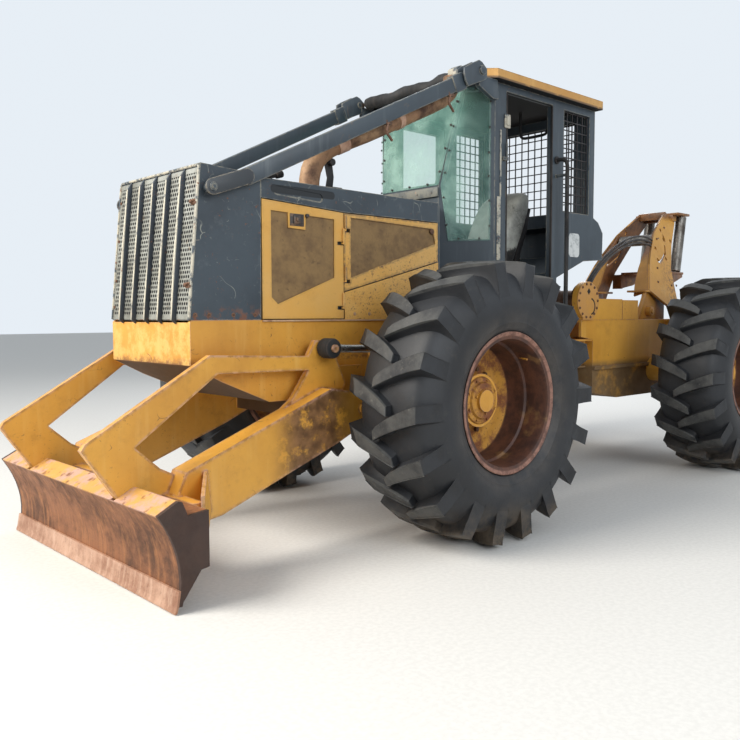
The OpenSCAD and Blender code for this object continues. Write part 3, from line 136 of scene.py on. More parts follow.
class Nodes:
    """The nodes of a material or of the world."""

    def __init__(self, owner):
        owner.use_nodes = True
        self.tree = owner.node_tree
        self.tree.nodes.clear()

    def node(self, kind, settings=None, sockets=None, out=0):
        """Adds a node: its settings first, then the values or links of its sockets."""
        new = self.tree.nodes.new(kind)
        for key, value in (settings or {}).items():
            setattr(new, key, value)
        for key, value in (sockets or {}).items():
            if isinstance(value, Field):
                self.tree.links.new(value.socket, new.inputs[key])
            else:
                new.inputs[key].default_value = value
        return new if out is None else Field(self, new.outputs[out])


class Finish(Nodes):
    """A material that is put together from nodes."""

    def __init__(self, name):
        self.material = bpy.data.materials.new(name)
        super().__init__(self.material)
        self.place = self.node("ShaderNodeTexCoord", out="Object")
        axes = self.node("ShaderNodeSeparateXYZ", {}, {0: self.place}, out=None)
        self.x, self.y, self.z = (Field(self, axes.outputs[i]) for i in range(3))

    def stretch(self, scale):
        """Object coordinates, scaled along each axis."""
        return self.node("ShaderNodeMapping", {}, {"Vector": self.place, "Scale": scale})

    def noise(self, scale, detail=4.0, rough=0.55, at=None, bend=0.0):
        """Cloudy noise from 0 to 1, with most of it near the middle."""
        sockets = {"Vector": at or self.place, "Scale": scale, "Detail": detail}
        return self.node("ShaderNodeTexNoise", {}, {**sockets, "Roughness": rough, "Distortion": bend})

    def cells(self, scale, at=None, feature="F1"):
        """Distances in a field of cells."""
        sockets = {"Vector": at or self.place, "Scale": scale}
        return self.node("ShaderNodeTexVoronoi", {"feature": feature}, sockets, out="Distance")

    def blend(self, low, high, share):
        """A colour between two colours."""
        sockets = {0: share, 6: low, 7: high}
        return self.node("ShaderNodeMix", {"data_type": "RGBA", "clamp_factor": True}, sockets, out=2)

    def edges(self, radius):
        """1 on the outer edges of a piece, 0 on its flats."""
        turned = self.node("ShaderNodeBevel", {"samples": 4}, {"Radius": radius})
        true = self.node("ShaderNodeNewGeometry", out="Normal")
        product = {"operation": "DOT_PRODUCT"}
        return self.node("ShaderNodeVectorMath", product, {0: turned, 1: true}, out="Value").step(0.995, 0.90)

    def scratches(self, scale, width, share):
        """Thin curved lines, broken up: 1 on a line."""
        swirl = self.node("ShaderNodeTexNoise", {}, {"Vector": self.place, "Scale": scale * 1.3}, out=1)
        bent = self.node("ShaderNodeVectorMath", {"operation": "MULTIPLY_ADD"},
                         {0: swirl, 1: (0.5, 0.5, 0.5), 2: self.place})
        line = self.cells(scale, bent, "DISTANCE_TO_EDGE").step(width * scale, width * scale * 0.3)
        return line * self.noise(scale * 2.1, 3, 0.6).step(share, share + 0.06)

    def holes(self, across, columns, rows, rim, middle):
        """1 in a sheet's staggered holes: columns and rows to the metre, and a hole's radii squared."""
        row = self.z * rows
        column = across * columns + row.sum("FLOOR", row) * 0.5
        right, up = column.sum("FRACT", column) - 0.5, row.sum("FRACT", row) - 0.5
        return (right * right + up * up).step(rim, middle)

    def wheel_radius(self):
        """The distance from the nearer axle."""
        along = (self.x - row_x(-WHEELBASE / 2)).size() - WHEELBASE / 2000
        return (along * along + (self.z - WHEEL_HIGH / 1000) ** 2) ** 0.5

    def bump(self, height, distance):
        """Relief without any change of shape, as deep as a distance in metres."""
        return self.node("ShaderNodeBump", {}, {"Strength": 1.0, "Distance": distance, "Height": height})

    def surface(self, colour, rough, normal=None, metal=0.0, **more):
        """Ends the material in one shader. Further sockets are given by their names."""
        sockets = {"Base Color": colour, "Roughness": rough, "Metallic": metal}
        if normal is not None:
            sockets["Normal"] = normal
        for key, value in more.items():
            sockets[key.replace("_", " ")] = value
        shader = self.node("ShaderNodeBsdfPrincipled", {}, sockets)
        self.node("ShaderNodeOutputMaterial", {}, {"Surface": shader}, out=None)
        return self.material


def linear(level):
    """A screen level from 0 to 255, as the linear value that shaders use."""
    return level / 255 / 12.92 if level <= 10 else ((level / 255 + 0.055) / 1.055) ** 2.4


def paint(red, green, blue):
    """A screen colour, as the linear colour that shaders use."""
    return linear(red), linear(green), linear(blue), 1


# Finishes

GOLD, GOLD_DEEP, GOLD_PALE = paint(216, 158, 62), paint(182, 124, 44), paint(226, 184, 108)
GOLD_FADED, PINK_EDGE = paint(214, 168, 96), paint(188, 150, 130)
RUST, RUST_DARK, RUST_PALE = paint(122, 76, 50), paint(66, 42, 32), paint(176, 128, 98)
SLATE, SLATE_DEEP, SLATE_PALE = paint(60, 70, 78), paint(40, 47, 54), paint(112, 118, 120)
DUST, BROWN_GRIME = paint(150, 130, 104), paint(48, 34, 24)
YELLOW, GREY = (GOLD, GOLD_DEEP, GOLD_PALE), (SLATE, SLATE_DEEP, SLATE_PALE)


def weathered(name, base, deep, pale, chip=RUST, chip_share=0.62, edge=RUST_PALE, rough=0.45,
              edge_width=0.012, also=None):
    """Old machine paint: faded patches, chips, scratches, worn edges, streaks and dust near the ground."""
    f = Finish(name)
    fade = f.noise(1.7, 5, 0.6).step(0.35, 0.7)
    colour = f.blend(base, deep, fade * 0.55)
    streak = f.noise(1.0, 5, 0.6, at=f.stretch((14, 14, 1.1))).step(0.52, 0.78)
    colour = f.blend(colour, pale, streak * 0.35)
    grime = f.noise(6.0, 6, 0.7).step(0.5, 0.8)
    colour = f.blend(colour, f.blend(deep, RUST_DARK, 0.5), grime * 0.35)
    scratch = f.scratches(2.6, 0.0036, 0.60).most(f.scratches(5.5, 0.0028, 0.61) * 0.8)
    colour = f.blend(colour, f.blend(chip, RUST_DARK, 0.5), scratch * 0.75)
    rim = f.edges(edge_width) * f.noise(22.0, 3).step(0.33, 0.58)
    colour = f.blend(colour, edge, rim * 0.9)
    patchy = f.noise(1.9, 4, 0.65).step(0.48, 0.66)
    chips = f.noise(60.0, 5, 0.7).step(chip_share, chip_share + 0.04) * (patchy * 0.9 + 0.1)
    colour = f.blend(colour, f.blend(chip, RUST_DARK, f.noise(90.0, 2)), chips)
    if also:
        colour, chips = also(f, colour, chips)
    mud = f.z.step(0.75, 0.15) * f.noise(5.0, 6, 0.7).step(0.35, 0.75)
    colour = f.blend(colour, DUST, mud * 0.32)
    height = chips * -0.4 - scratch * 0.3 + f.noise(9.0, 3) * 0.25 + f.noise(120.0, 2) * 0.05
    return f.surface(colour, rough + chips * 0.3 + mud * 0.25 - streak * 0.05, f.bump(height, 0.0015))


def blade_ends(f, colour):
    """Dark end plates, and the rubbed yellow top of the blade."""
    ends = f.blend(paint(74, 52, 42), paint(48, 36, 32), f.noise(12.0, 5))
    colour = f.blend(colour, ends, f.y.size().step(1.030, 1.036))
    top = f.z.step(0.478, 0.486) * f.y.size().step(1.030, 1.025)
    rubbed = f.blend(paint(206, 158, 84), paint(196, 158, 140), f.noise(7.0, 5, 0.7).step(0.42, 0.58))
    return f.blend(colour, rubbed, top * f.noise(18.0, 5).step(0.28, 0.45))


def bare_steel(name, base, deep, spot, rough, metal, streaks=(2.5, 30, 2.5), share=0.5, also=None,
               rim_share=0.45):
    """Rusty or worn steel in three screen colours, with streaks along one way."""
    f = Finish(name)
    patch = f.noise(4.5, 7, 0.7).step(0.38, 0.66)
    colour = f.blend(paint(*base), paint(*deep), patch)
    streak = f.noise(1.0, 5, 0.65, at=f.stretch(streaks)).step(0.45, 0.7)
    colour = f.blend(colour, paint(*spot), streak * share)
    fine = f.noise(70.0, 4, 0.7)
    colour = f.blend(colour, RUST_DARK, fine.step(0.58, 0.7) * 0.5)
    rim = f.edges(0.010)
    colour = f.blend(colour, RUST_PALE, rim * rim_share)
    if also:
        colour = also(f, colour)
    height = fine * 0.5 + patch * 0.4
    return f.surface(colour, rough + patch * 0.2 - rim * 0.1, f.bump(height, 0.002), metal=metal)


def speckled_yellow(f):
    """The faded yellow of the engine's side panels, with rust freckles low on the rear ones."""
    low = f.x.step(row_x(570), row_x(500)) * f.z.step(2.02, 1.75)
    colour = f.blend(GOLD_FADED, GOLD, f.noise(1.7, 5, 0.6).step(0.35, 0.7) * 0.7)
    colour = f.blend(colour, GOLD_DEEP, f.noise(7.0, 6, 0.7).step(0.5, 0.8) * 0.45)
    freckle = f.noise(85.0, 4, 0.75).step(0.585, 0.625)
    freckle = freckle * (low * f.noise(4.5, 4).step(0.36, 0.55) * 0.95 + 0.05)
    blot = f.noise(30.0, 5, 0.75).step(0.60, 0.66) * (low * 0.9 + 0.1)
    freckle = freckle.most(blot)
    colour = f.blend(colour, f.blend(RUST, paint(86, 78, 74), f.noise(20.0, 3)), freckle)
    return colour, freckle


def door_finish(name):
    """A yellow engine door with brown perforated screen in its pressed field, its holes darkened as painted
    shade.
    """
    f = Finish(name)
    field = f.y.size().step(0.4745, 0.4725)
    colour, freckle = speckled_yellow(f)
    worn = f.edges(0.030) * f.noise(34.0, 4, 0.7).step(0.38, 0.50)
    rear = f.x.step(row_x(570), row_x(550))
    worn = worn * (rear * 0.75 + 0.25) * (1 - field)
    colour = f.blend(colour, paint(84, 74, 66), worn * 0.9)
    holes = f.holes(f.x, 190.0, 190.0, 0.06, 0.03)
    screen = f.blend(paint(146, 116, 74), paint(112, 86, 56), f.noise(7.0, 6, 0.7).step(0.35, 0.7))
    screen = f.blend(screen, paint(90, 68, 46), f.noise(30.0, 4).step(0.6, 0.72) * 0.7)
    # Darker holes: painted shade inside them.
    screen = f.blend(screen, paint(62, 48, 34), holes * 0.5)
    colour = f.blend(colour, screen, field)
    height = freckle * -0.3 + holes * field * -0.8 + f.noise(12.0, 3) * 0.2
    return f.surface(colour, 0.5 + field * 0.2 + freckle * 0.2, f.bump(height, 0.0012))


def hood_finish(name):
    """Dark hood with a pressed slot painted near-black as its shade, and yellow panels under the rear doors.
    """
    f = Finish(name)
    top, rough, height = slate_paint(f)
    yellow, _ = speckled_yellow(f)
    low = f.z.step(2.075, 2.070) * f.y.size().step(0.470, 0.474)
    colour = f.blend(top, yellow, low)
    over = (f.x - row_x(882)).size() - 0.224
    slot = (over.most(0.0) ** 2 + (f.z - 2.172) ** 2) ** 0.5
    slot = slot.step(0.025, 0.0225) * f.y.size().step(0.470, 0.473)
    # Near-black in the pressed slot: painted shade.
    colour = f.blend(colour, paint(20, 24, 28), slot)
    return f.surface(colour, rough + low * 0.05, f.bump(height - slot * 1.0, 0.0012))


def rubber(name):
    """Worn, dusty tyre rubber: paler lug tops, brown dust towards the rim."""
    f = Finish(name)
    radius = f.wheel_radius()
    base = f.blend(paint(33, 35, 39), paint(21, 22, 25), f.noise(3.0, 5, 0.6).step(0.35, 0.65))
    top = radius.step(0.8600, 0.8620)
    base = f.blend(base, paint(84, 84, 82), top * f.noise(5.0, 5, 0.7).step(0.25, 0.65) * 0.75)
    scuff = f.noise(26.0, 6, 0.75).step(0.56, 0.74)
    base = f.blend(base, paint(120, 118, 112), scuff * top * 0.5)
    base = f.blend(base, paint(88, 82, 74), f.noise(11.0, 6, 0.75).step(0.55, 0.8) * 0.3)
    near = radius.step(0.62, 0.45) * f.noise(5.0, 5, 0.7).step(0.3, 0.7)
    base = f.blend(base, paint(88, 80, 72), near * 0.45)
    dirt = f.z.step(0.35, 0.02) * f.noise(8.0, 6, 0.75).step(0.35, 0.65)
    base = f.blend(base, paint(128, 112, 92), dirt * 0.55)
    height = f.noise(60.0, 5, 0.7) * 0.5 + f.noise(14.0, 4) * 0.5
    return f.surface(base, 0.56 + dirt * 0.25 + top * 0.16, f.bump(height, 0.0018))


def wheel_finish(name):
    """Pinkish rusty flange, dark red-brown barrel and a yellow disc with rust patches."""
    f = Finish(name)
    radius = f.wheel_radius()
    patch = f.noise(7.0, 6, 0.7).step(0.42, 0.6)
    disc = f.blend(paint(190, 136, 52), paint(122, 72, 40), patch)
    barrel = f.blend(paint(92, 56, 40), paint(60, 36, 28), f.noise(9.0, 5, 0.7).step(0.35, 0.65))
    barrel = f.blend(barrel, paint(160, 120, 70), f.noise(5.0, 4).step(0.6, 0.75) * 0.5)
    flange = f.blend(paint(146, 106, 90), paint(98, 66, 54), f.noise(16.0, 5, 0.7).step(0.4, 0.65))
    colour = f.blend(disc, barrel, radius.step(0.355, 0.366))
    colour = f.blend(colour, flange, radius.step(0.412, 0.42))
    bolts = (radius - 0.200).size().step(0.024, 0.020) * f.y.size().step(1.0680, 1.0695)
    colour = f.blend(colour, paint(58, 36, 26), bolts * 0.85)
    colour = f.blend(colour, RUST_DARK, f.noise(55.0, 4).step(0.6, 0.7) * 0.6)
    return f.surface(colour, 0.6, f.bump(f.noise(40.0, 5) * 0.6 + patch * 0.4, 0.0015))


def grille_sheet(name):
    """Pale grey sheet with staggered round holes between the fins, painted near-black for the shade inside
    them.
    """
    f = Finish(name)
    hole = f.holes(f.y, 41.0, 40.0, 0.145, 0.105)
    hole = hole * f.z.step(1.425, 1.43) * f.z.step(2.215, 2.21) * f.y.size().step(0.452, 0.448)
    colour = f.blend(paint(150, 152, 146), paint(112, 112, 104), f.noise(5.0, 6, 0.7).step(0.35, 0.7))
    colour = f.blend(colour, paint(126, 104, 78), f.noise(24.0, 5, 0.7).step(0.58, 0.7) * 0.6)
    # Near-black in the holes: painted shade inside them.
    colour = f.blend(colour, paint(14, 15, 17), hole)
    return f.surface(colour, 0.5 + hole * 0.4, f.bump(hole * -1.0 + f.noise(30.0, 3) * 0.1, 0.004))


def fin_finish(name):
    """Dark fins whose front edges are worn to pale metal."""
    f = Finish(name)
    tip = (f.x - ((f.z - 1.395) * -0.0943 + row_x(1683))).step(0.030, 0.034)
    colour = f.blend(paint(58, 66, 76), paint(44, 50, 56), f.noise(4.0, 5).step(0.4, 0.7))
    worn = tip * f.noise(16.0, 4, 0.7).step(0.25, 0.5)
    colour = f.blend(colour, paint(196, 190, 172), worn)
    colour = f.blend(colour, RUST, f.noise(40.0, 4, 0.7).step(0.62, 0.68) * 0.7)
    return f.surface(colour, 0.5, f.bump(f.noise(30.0, 4), 0.0012))


def slate_paint(f):
    """Colour, roughness and relief of the dark blue-grey paint."""
    colour = f.blend(SLATE, SLATE_DEEP, f.noise(2.2, 5, 0.6).step(0.35, 0.7) * 0.7)
    colour = f.blend(colour, SLATE_PALE, f.noise(8.0, 6, 0.75).step(0.55, 0.75) * 0.25)
    line = f.scratches(2.4, 0.0026, 0.53).most(f.scratches(7.0, 0.0022, 0.58) * 0.7)
    colour = f.blend(colour, paint(158, 158, 146), line * 0.65)
    rim = f.edges(0.010) * f.noise(20.0, 4).step(0.33, 0.58)
    colour = f.blend(colour, paint(166, 160, 142), rim * 0.85)
    foot = f.z.step(1.50, 1.41) * f.noise(16.0, 5, 0.7).step(0.5, 0.62)
    chips = foot.most(f.noise(45.0, 5, 0.7).step(0.64, 0.69))
    colour = f.blend(colour, RUST, chips * 0.8)
    return colour, 0.46 + chips * 0.3, f.noise(14.0, 3) * 0.3 - chips * 0.4 - line * 0.4


def scratched_slate(name):
    """The dark paint of the radiator shroud."""
    f = Finish(name)
    colour, rough, height = slate_paint(f)
    return f.surface(colour, rough, f.bump(height, 0.0012))


def glass(name):
    """Greenish safety glass, hazy and scratched, and clearer on the quarter panes as painted shade."""
    f = Finish(name)
    haze = f.noise(2.2, 6, 0.65).step(0.35, 0.75)
    scratch = f.noise(1.0, 6, 0.8, at=f.stretch((3, 60, 3)), bend=1.5).step(0.62, 0.70)
    colour = f.blend(paint(96, 146, 134), paint(170, 206, 192), haze)
    # Quarter panes made clearer, so darker: painted shade on them.
    side = f.y.size().step(0.40, 0.46)
    alpha = 0.24 + haze * 0.26 + scratch * 0.2 + f.z.step(2.35, 3.1) * 0.10
    alpha = alpha * (1 - side * 0.45)
    return f.surface(colour, 0.08 + haze * 0.20, Alpha=alpha, Specular_IOR_Level=0.6)


def vinyl(name):
    """Pale grey seat vinyl, creased and worn."""
    f = Finish(name)
    colour = f.blend(paint(168, 168, 160), paint(120, 120, 114), f.noise(4.0, 6, 0.7).step(0.35, 0.7))
    torn = (f.z + f.noise(7.0, 5, 0.7) * 0.22).step(2.10, 2.06)
    crack = f.cells(26.0, feature="DISTANCE_TO_EDGE").step(0.05, 0.01) * f.noise(3.0, 3).step(0.5, 0.62)
    colour = f.blend(colour, paint(74, 72, 68), crack * 0.8)
    under = f.blend(paint(26, 25, 24), paint(70, 58, 44), f.noise(30.0, 4).step(0.5, 0.7))
    colour = f.blend(colour, under, torn)
    grain = f.cells(240.0)
    return f.surface(colour, 0.55, f.bump(grain * 0.4 - crack, 0.0012), Sheen_Weight=0.15)


def hose_rubber(name):
    """Dusty black rubber, wound in fine rings."""
    f = Finish(name)
    colour = f.blend(paint(46, 44, 44), paint(92, 78, 66), f.noise(12.0, 5, 0.7).step(0.4, 0.7))
    rings = f.node("ShaderNodeTexWave", {"bands_direction": "DIAGONAL"}, {"Vector": f.place, "Scale": 30.0})
    return f.surface(colour, 0.6, f.bump(rings, 0.0008))


def fitting(name, base, worn, scale, low, high, rough, grain=30.0, deep=0.001, rust=None):
    """A small fitting in two screen colours, with spots of rust: their colour, scale, two steps and share."""
    f = Finish(name)
    colour = f.blend(paint(*base), paint(*worn), f.noise(scale, 5, 0.7).step(low, high))
    if rust:
        tint, spots, start, end, share = rust
        colour = f.blend(colour, tint, f.noise(spots, 4, 0.7).step(start, end) * share)
    return f.surface(colour, rough, f.bump(f.noise(grain, 4), deep))


def grime_and_shade_below(top, low):
    """Brown grime and painted shade that start under a height and cover what lies below."""
    def also(f, colour, chips):
        # Brown below the height: partly grime, partly painted shade under the machine.
        share = f.z.step(top, low) * f.noise(3.2, 6, 0.7).step(0.22, 0.5)
        grime = f.blend(BROWN_GRIME, DUST, f.noise(9.0, 5) * 0.6)
        return f.blend(colour, grime, share * 0.85), chips.most(share)
    return also


def nose_wear_and_painted_light(f, colour, chips):
    """Pale nose front, partly worn and partly painted sunlight, rubbed under the lift arms, and a brown
    underside of grime and painted shade.
    """
    inner = f.y.size().step(0.474, 0.468)
    # Brown underside of the frame: partly grime, partly painted shade.
    belly = f.z.step(1.17, 1.13) * inner
    colour = f.blend(colour, f.blend(BROWN_GRIME, paint(96, 70, 44), f.noise(8.0, 5, 0.7)), belly * 0.95)
    # Paler front face of the nose: partly wear, partly painted sunlight on the lit face.
    front = f.x.step(row_x(1678), row_x(1682)) * f.noise(7.0, 6, 0.75).step(0.42, 0.62)
    colour = f.blend(colour, GOLD_PALE, front * 0.7)
    scrape = f.z.step(1.20, 1.15) * f.z.step(1.13, 1.15) * f.noise(26.0, 5, 0.7).step(0.42, 0.6)
    return f.blend(colour, RUST, scrape * 0.7), chips.most(belly)


def arm_wear(f, colour, chips):
    """Dark rust patch on the push arms' outer faces, and grime where they meet the blade."""
    far = (f.x - row_x(980)).size().step(0.36, 0.12) * f.y.size().step(0.690, 0.698)
    patch = far * f.noise(5.5, 6, 0.75).step(0.36, 0.50)
    rust = f.blend(paint(62, 40, 30), paint(128, 92, 62), f.noise(14.0, 5).step(0.3, 0.7))
    colour = f.blend(colour, rust, patch * 0.92)
    rim = f.edges(0.030) * f.noise(9.0, 5, 0.7).step(0.34, 0.50)
    bare = f.blend(PINK_EDGE, paint(120, 80, 56), f.noise(24.0, 4).step(0.4, 0.6))
    colour = f.blend(colour, bare, rim * 0.9)
    foot = f.x.step(row_x(2150), row_x(2420)) * f.z.step(0.62, 0.42)
    foot = foot * f.noise(9.0, 6, 0.75).step(0.40, 0.58)
    return f.blend(colour, paint(110, 78, 52), foot * 0.6), chips


def roof_wear_and_shade(f, colour, chips):
    """Near-black painted shade under the roof, and a dirty lower edge."""
    # Near-black underside of the roof: painted shade.
    under = f.z.step(3.1345, 3.1325)
    line = f.z.step(3.152, 3.142) * f.noise(11.0, 5, 0.7).step(0.25, 0.45)
    colour = f.blend(colour, paint(84, 60, 38), line * 0.85)
    return f.blend(colour, paint(9, 9, 10), under), chips.most(under)


def arch_wear_and_shade(f, colour, chips):
    """Brown far plate and cap of the arch, and grime low on the near plate; the brown on the plates' inner
    faces is partly rust and partly painted shade.
    """
    lean = f.y.size() + (f.z - 1.66) * 0.3
    inner = lean.step(0.388, 0.380)
    behind = f.x.step(row_x(-3640), row_x(-3720))
    # Brown on the plates' inner faces: partly rust, partly painted shade.
    brown = f.blend(paint(84, 54, 38), paint(140, 92, 54), f.noise(9.0, 6, 0.7).step(0.35, 0.65))
    share = inner * f.noise(3.4, 6, 0.7).step(0.22, 0.42) * (0.35 + behind * 0.6)
    cap = f.z.step(2.40, 2.46) * f.noise(8.0, 5).step(0.3, 0.5) * 0.9
    low = f.z.step(2.10, 1.70) * f.x.step(row_x(-3740), row_x(-3980))
    speckle = low * f.noise(38.0, 6, 0.75).step(0.46, 0.56) * 0.8
    return f.blend(colour, brown, share.most(cap).most(speckle)), chips


def winch_wear(f, colour, chips):
    """Tan, rubbed cover plate of the winch."""
    tan = f.y.size().step(0.405, 0.415) * f.noise(5.0, 5, 0.6).step(0.2, 0.5)
    return f.blend(colour, paint(188, 138, 84), tan * 0.7), chips


BODY = weathered("body_paint", *YELLOW)
FRAME = weathered("nose_paint", *YELLOW, also=nose_wear_and_painted_light)
ARMS = weathered("arm_paint", *YELLOW, edge=PINK_EDGE, edge_width=0.018, also=arm_wear)
REAR = weathered("rear_paint", *YELLOW, also=grime_and_shade_below(1.02, 0.94))
ROOF = weathered("roof_paint", paint(196, 150, 84), GOLD_DEEP, GOLD_PALE, edge=paint(120, 90, 60),
                 also=roof_wear_and_shade)
ARCH = weathered("arch_paint", *YELLOW, edge=paint(150, 106, 78), edge_width=0.016, also=arch_wear_and_shade)
WINCH = weathered("winch_paint", *YELLOW, also=winch_wear)
LEDGE = weathered("ledge_paint", paint(190, 162, 128), paint(150, 116, 88), paint(214, 196, 168),
                  chip_share=0.5)
DARK = weathered("dark_paint", *GREY, edge=paint(150, 144, 128), chip=paint(120, 104, 90), chip_share=0.66,
                 rough=0.46)
LINK = weathered("link_paint", paint(54, 58, 62), SLATE_DEEP, SLATE_PALE, edge=paint(170, 158, 136),
                 rough=0.46)
HOOD, SHROUD, DOORS = hood_finish("hood_paint"), scratched_slate("shroud_paint"), door_finish("door_paint")
GRILLE, FINS = grille_sheet("pale_sheet"), fin_finish("fin_paint")
TYRE, WHEEL, HOSE = rubber("tyre_rubber"), wheel_finish("rim_steel"), hose_rubber("hose_rubber")
PANE, SEAT = glass("pane_glass"), vinyl("seat_vinyl")
BLADE = bare_steel("blade_rust", (134, 86, 54), (84, 56, 40), (176, 120, 76), 0.6, 0.15, (30, 30, 1.6),
                   also=blade_ends)
EDGE = bare_steel("edge_steel", (190, 152, 128), (146, 106, 84), (214, 184, 162), 0.5, 0.25, (26, 26, 1.6))
EXHAUST = bare_steel("exhaust_steel", (140, 110, 88), (86, 60, 46), (176, 150, 126), 0.65, 0.2)
TAILPIPE = bare_steel("tailpipe_rust", (146, 110, 80), (66, 44, 34), (200, 164, 124), 0.6, 0.15,
                      (3, 3, 3), 0.7)
IRON = bare_steel("engine_iron", (66, 62, 58), (44, 40, 38), (96, 84, 70), 0.6, 0.3)
DRUM = bare_steel("drum_steel", (110, 80, 60), (70, 48, 38), (150, 122, 100), 0.55, 0.4)
ROLLER = bare_steel("roller_steel", (120, 116, 110), (76, 68, 62), (190, 186, 178), 0.35, 0.7)
SCREEN = bare_steel("screen_steel", (48, 50, 54), (34, 34, 36), (70, 62, 56), 0.6, 0.2, rim_share=0.04)
CHROME = bare_steel("chrome_rod", (206, 206, 204), (160, 158, 152), (230, 230, 228), 0.18, 0.95)
BLACK = bare_steel("black_rubber", (30, 30, 31), (20, 20, 21), (58, 54, 50), 0.65, 0.0, rim_share=0.06)
PIN = bare_steel("pin_steel", (88, 66, 54), (56, 42, 36), (132, 104, 86), 0.55, 0.4)
EDGE_WORN = fitting("worn_edge", (178, 172, 156), (60, 70, 78), 14.0, 0.45, 0.6, 0.5,
                    rust=(RUST, 44.0, 0.6, 0.68, 1))
LEDGE_GREY = fitting("ledge_grey", (120, 118, 108), (84, 88, 88), 7.0, 0.4, 0.65, 0.55,
                     rust=(RUST_PALE, 30.0, 0.6, 0.7, 0.6))
PATCH = fitting("bare_patch", (206, 208, 206), (150, 154, 154), 16.0, 0.45, 0.65, 0.55, deep=0.0008)
LATCH = fitting("latch_black", (54, 50, 48), (112, 86, 66), 22.0, 0.45, 0.65, 0.5, grain=40.0)

LOOKS = {
    "front_frame": FRAME, "front_axle": BODY, "rear_axle": BODY, "rear_frame": REAR, "winch": WINCH,
    "winch_drum": DRUM, "arch": ARCH, "fairlead_cross": ROLLER, "blade_carrier": ARMS, "blade": BLADE,
    "cutting_edge": EDGE, "engine": IRON, "radiator_shroud": SHROUD, "grille": GRILLE, "hood": HOOD,
    "exhaust": EXHAUST, "limb_risers": DARK, "cab_shell": DARK, "cab_roof": ROOF, "cab_floor_plate": DARK,
    "cab_door": DARK, "cab_glass": PANE, "cab_screens": SCREEN, "seat": SEAT, "steering_column": DARK,
}
for side, _ in SIDES:
    for part in ("lift", "steer"):
        LOOKS[f"{part}_barrel_{side}"] = BODY
        LOOKS[f"{part}_rod_{side}"] = CHROME
    for end in ("front", "rear"):
        LOOKS[f"tyre_{end}_{side}"] = TYRE
        LOOKS[f"rim_{end}_{side}"] = WHEEL
        LOOKS[f"engine_door_{side}_{end}"] = DOORS
    LOOKS[f"fairlead_{side}"] = ROLLER
for node, look in LOOKS.items():
    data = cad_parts[node].data
    data.materials.clear()
    data.materials.append(look)


# Mesh making. Sizes are in millimetres, but for those of soften, thicken, pipe and the next line, in metres.

WELD_WITHIN = 0.00005


def edges_of(verts):
    """All edges that meet these points."""
    return {e for v in verts for e in v.link_edges}


def soften(bm, edges, radius, segments=2):
    """Rounds edges off."""
    bmesh.ops.bevel(bm, geom=list(edges), offset=radius, segments=segments, profile=0.5, affect="EDGES",
                    material=-1)


def thicken(bm, faces, way, keep=False):
    """Draws faces out along a way, and gives the points at the new end."""
    made = bmesh.ops.extrude_face_region(bm, geom=faces, use_keep_orig=keep)["geom"]
    moved = [v for v in made if isinstance(v, bmesh.types.BMVert)]
    bmesh.ops.translate(bm, verts=moved, vec=way)
    return moved


def mesh_of(name, bm):
    """Ends a bmesh in a mesh."""
    mesh = bpy.data.meshes.new(name)
    bm.to_mesh(mesh)
    bm.free()
    return mesh


def finish_piece(name, bm, body, look, smooth=30, weld=True):
    """Turns a bmesh into a piece that rides on a body, shaded smooth up to an angle in degrees."""
    if weld:
        bmesh.ops.remove_doubles(bm, verts=bm.verts, dist=WELD_WITHIN)
    bmesh.ops.recalc_face_normals(bm, faces=bm.faces)
    mesh = mesh_of(name, bm)
    for face in mesh.polygons:
        face.use_smooth = True
    mesh.set_sharp_from_angle(angle=math.radians(smooth))
    mesh.materials.append(look)
    piece = set_down(name, mesh)
    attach(piece, body)
    return piece


def block(bm, a, b, round_by):
    """A box between any two opposite corners, with rounded edges."""
    a, b = place(*a), place(*b)
    stretch = Matrix.Diagonal([abs(length) for length in b - a]).to_4x4()
    made = bmesh.ops.create_cube(bm, size=1, matrix=Matrix.Translation((a + b) / 2) @ stretch)
    soften(bm, edges_of(made["verts"]), round_by / 1000)


def plate(bm, outline, y0, y1, round_by=0):
    """A side profile of x and height, made from y0 to y1 wide."""
    verts = [bm.verts.new(place(x, y0, z)) for x, z in outline]
    moved = thicken(bm, [bm.faces.new(verts)], (0, (y1 - y0) / 1000, 0))
    if round_by:
        soften(bm, edges_of(verts + moved), round_by / 1000)


def round_bar(bm, a, b, radius, sides=24, end=None, round_by=0):
    """A bar between two points of the machine, which may narrow to its end and may have rounded rims."""
    a, b = place(*a), place(*b)
    turn = (b - a).to_track_quat("Z", "Y").to_matrix().to_4x4()
    made = bmesh.ops.create_cone(bm, cap_ends=True, segments=sides, radius1=radius / 1000,
                                 radius2=(end or radius) / 1000, depth=(b - a).length,
                                 matrix=Matrix.Translation((a + b) / 2) @ turn)
    if round_by:
        rims = {e for e in edges_of(made["verts"]) if any(len(f.verts) > 4 for f in e.link_faces)}
        soften(bm, rims, round_by / 1000)


def cross_bar(bm, x, z, y0, y1, *sizes):
    """A round bar that lies across the machine."""
    round_bar(bm, (x, y0, z), (x, y1, z), *sizes)


def bolt(bm, at, way, radius, height, washer=True):
    """A six-sided bolt head that stands on a point, with a thin washer under it."""
    at, way = Vector(at), Vector(way).normalized()
    if washer:
        round_bar(bm, at, at + way * 2, radius * 1.45, 12)
    round_bar(bm, at, at + way * height, radius, 6)


def bolt_ring(bm, centre, s, ring, count, first, radius, height, washer=True):
    """Bolts on a circle round a crosswise axle, which face the side s. The first one's angle is given."""
    x, y, z = centre
    for i in range(count):
        a = math.radians(first) + i * 2 * math.pi / count
        bolt(bm, (x + ring * math.cos(a), y, z + ring * math.sin(a)), (0, s, 0), radius, height, washer)


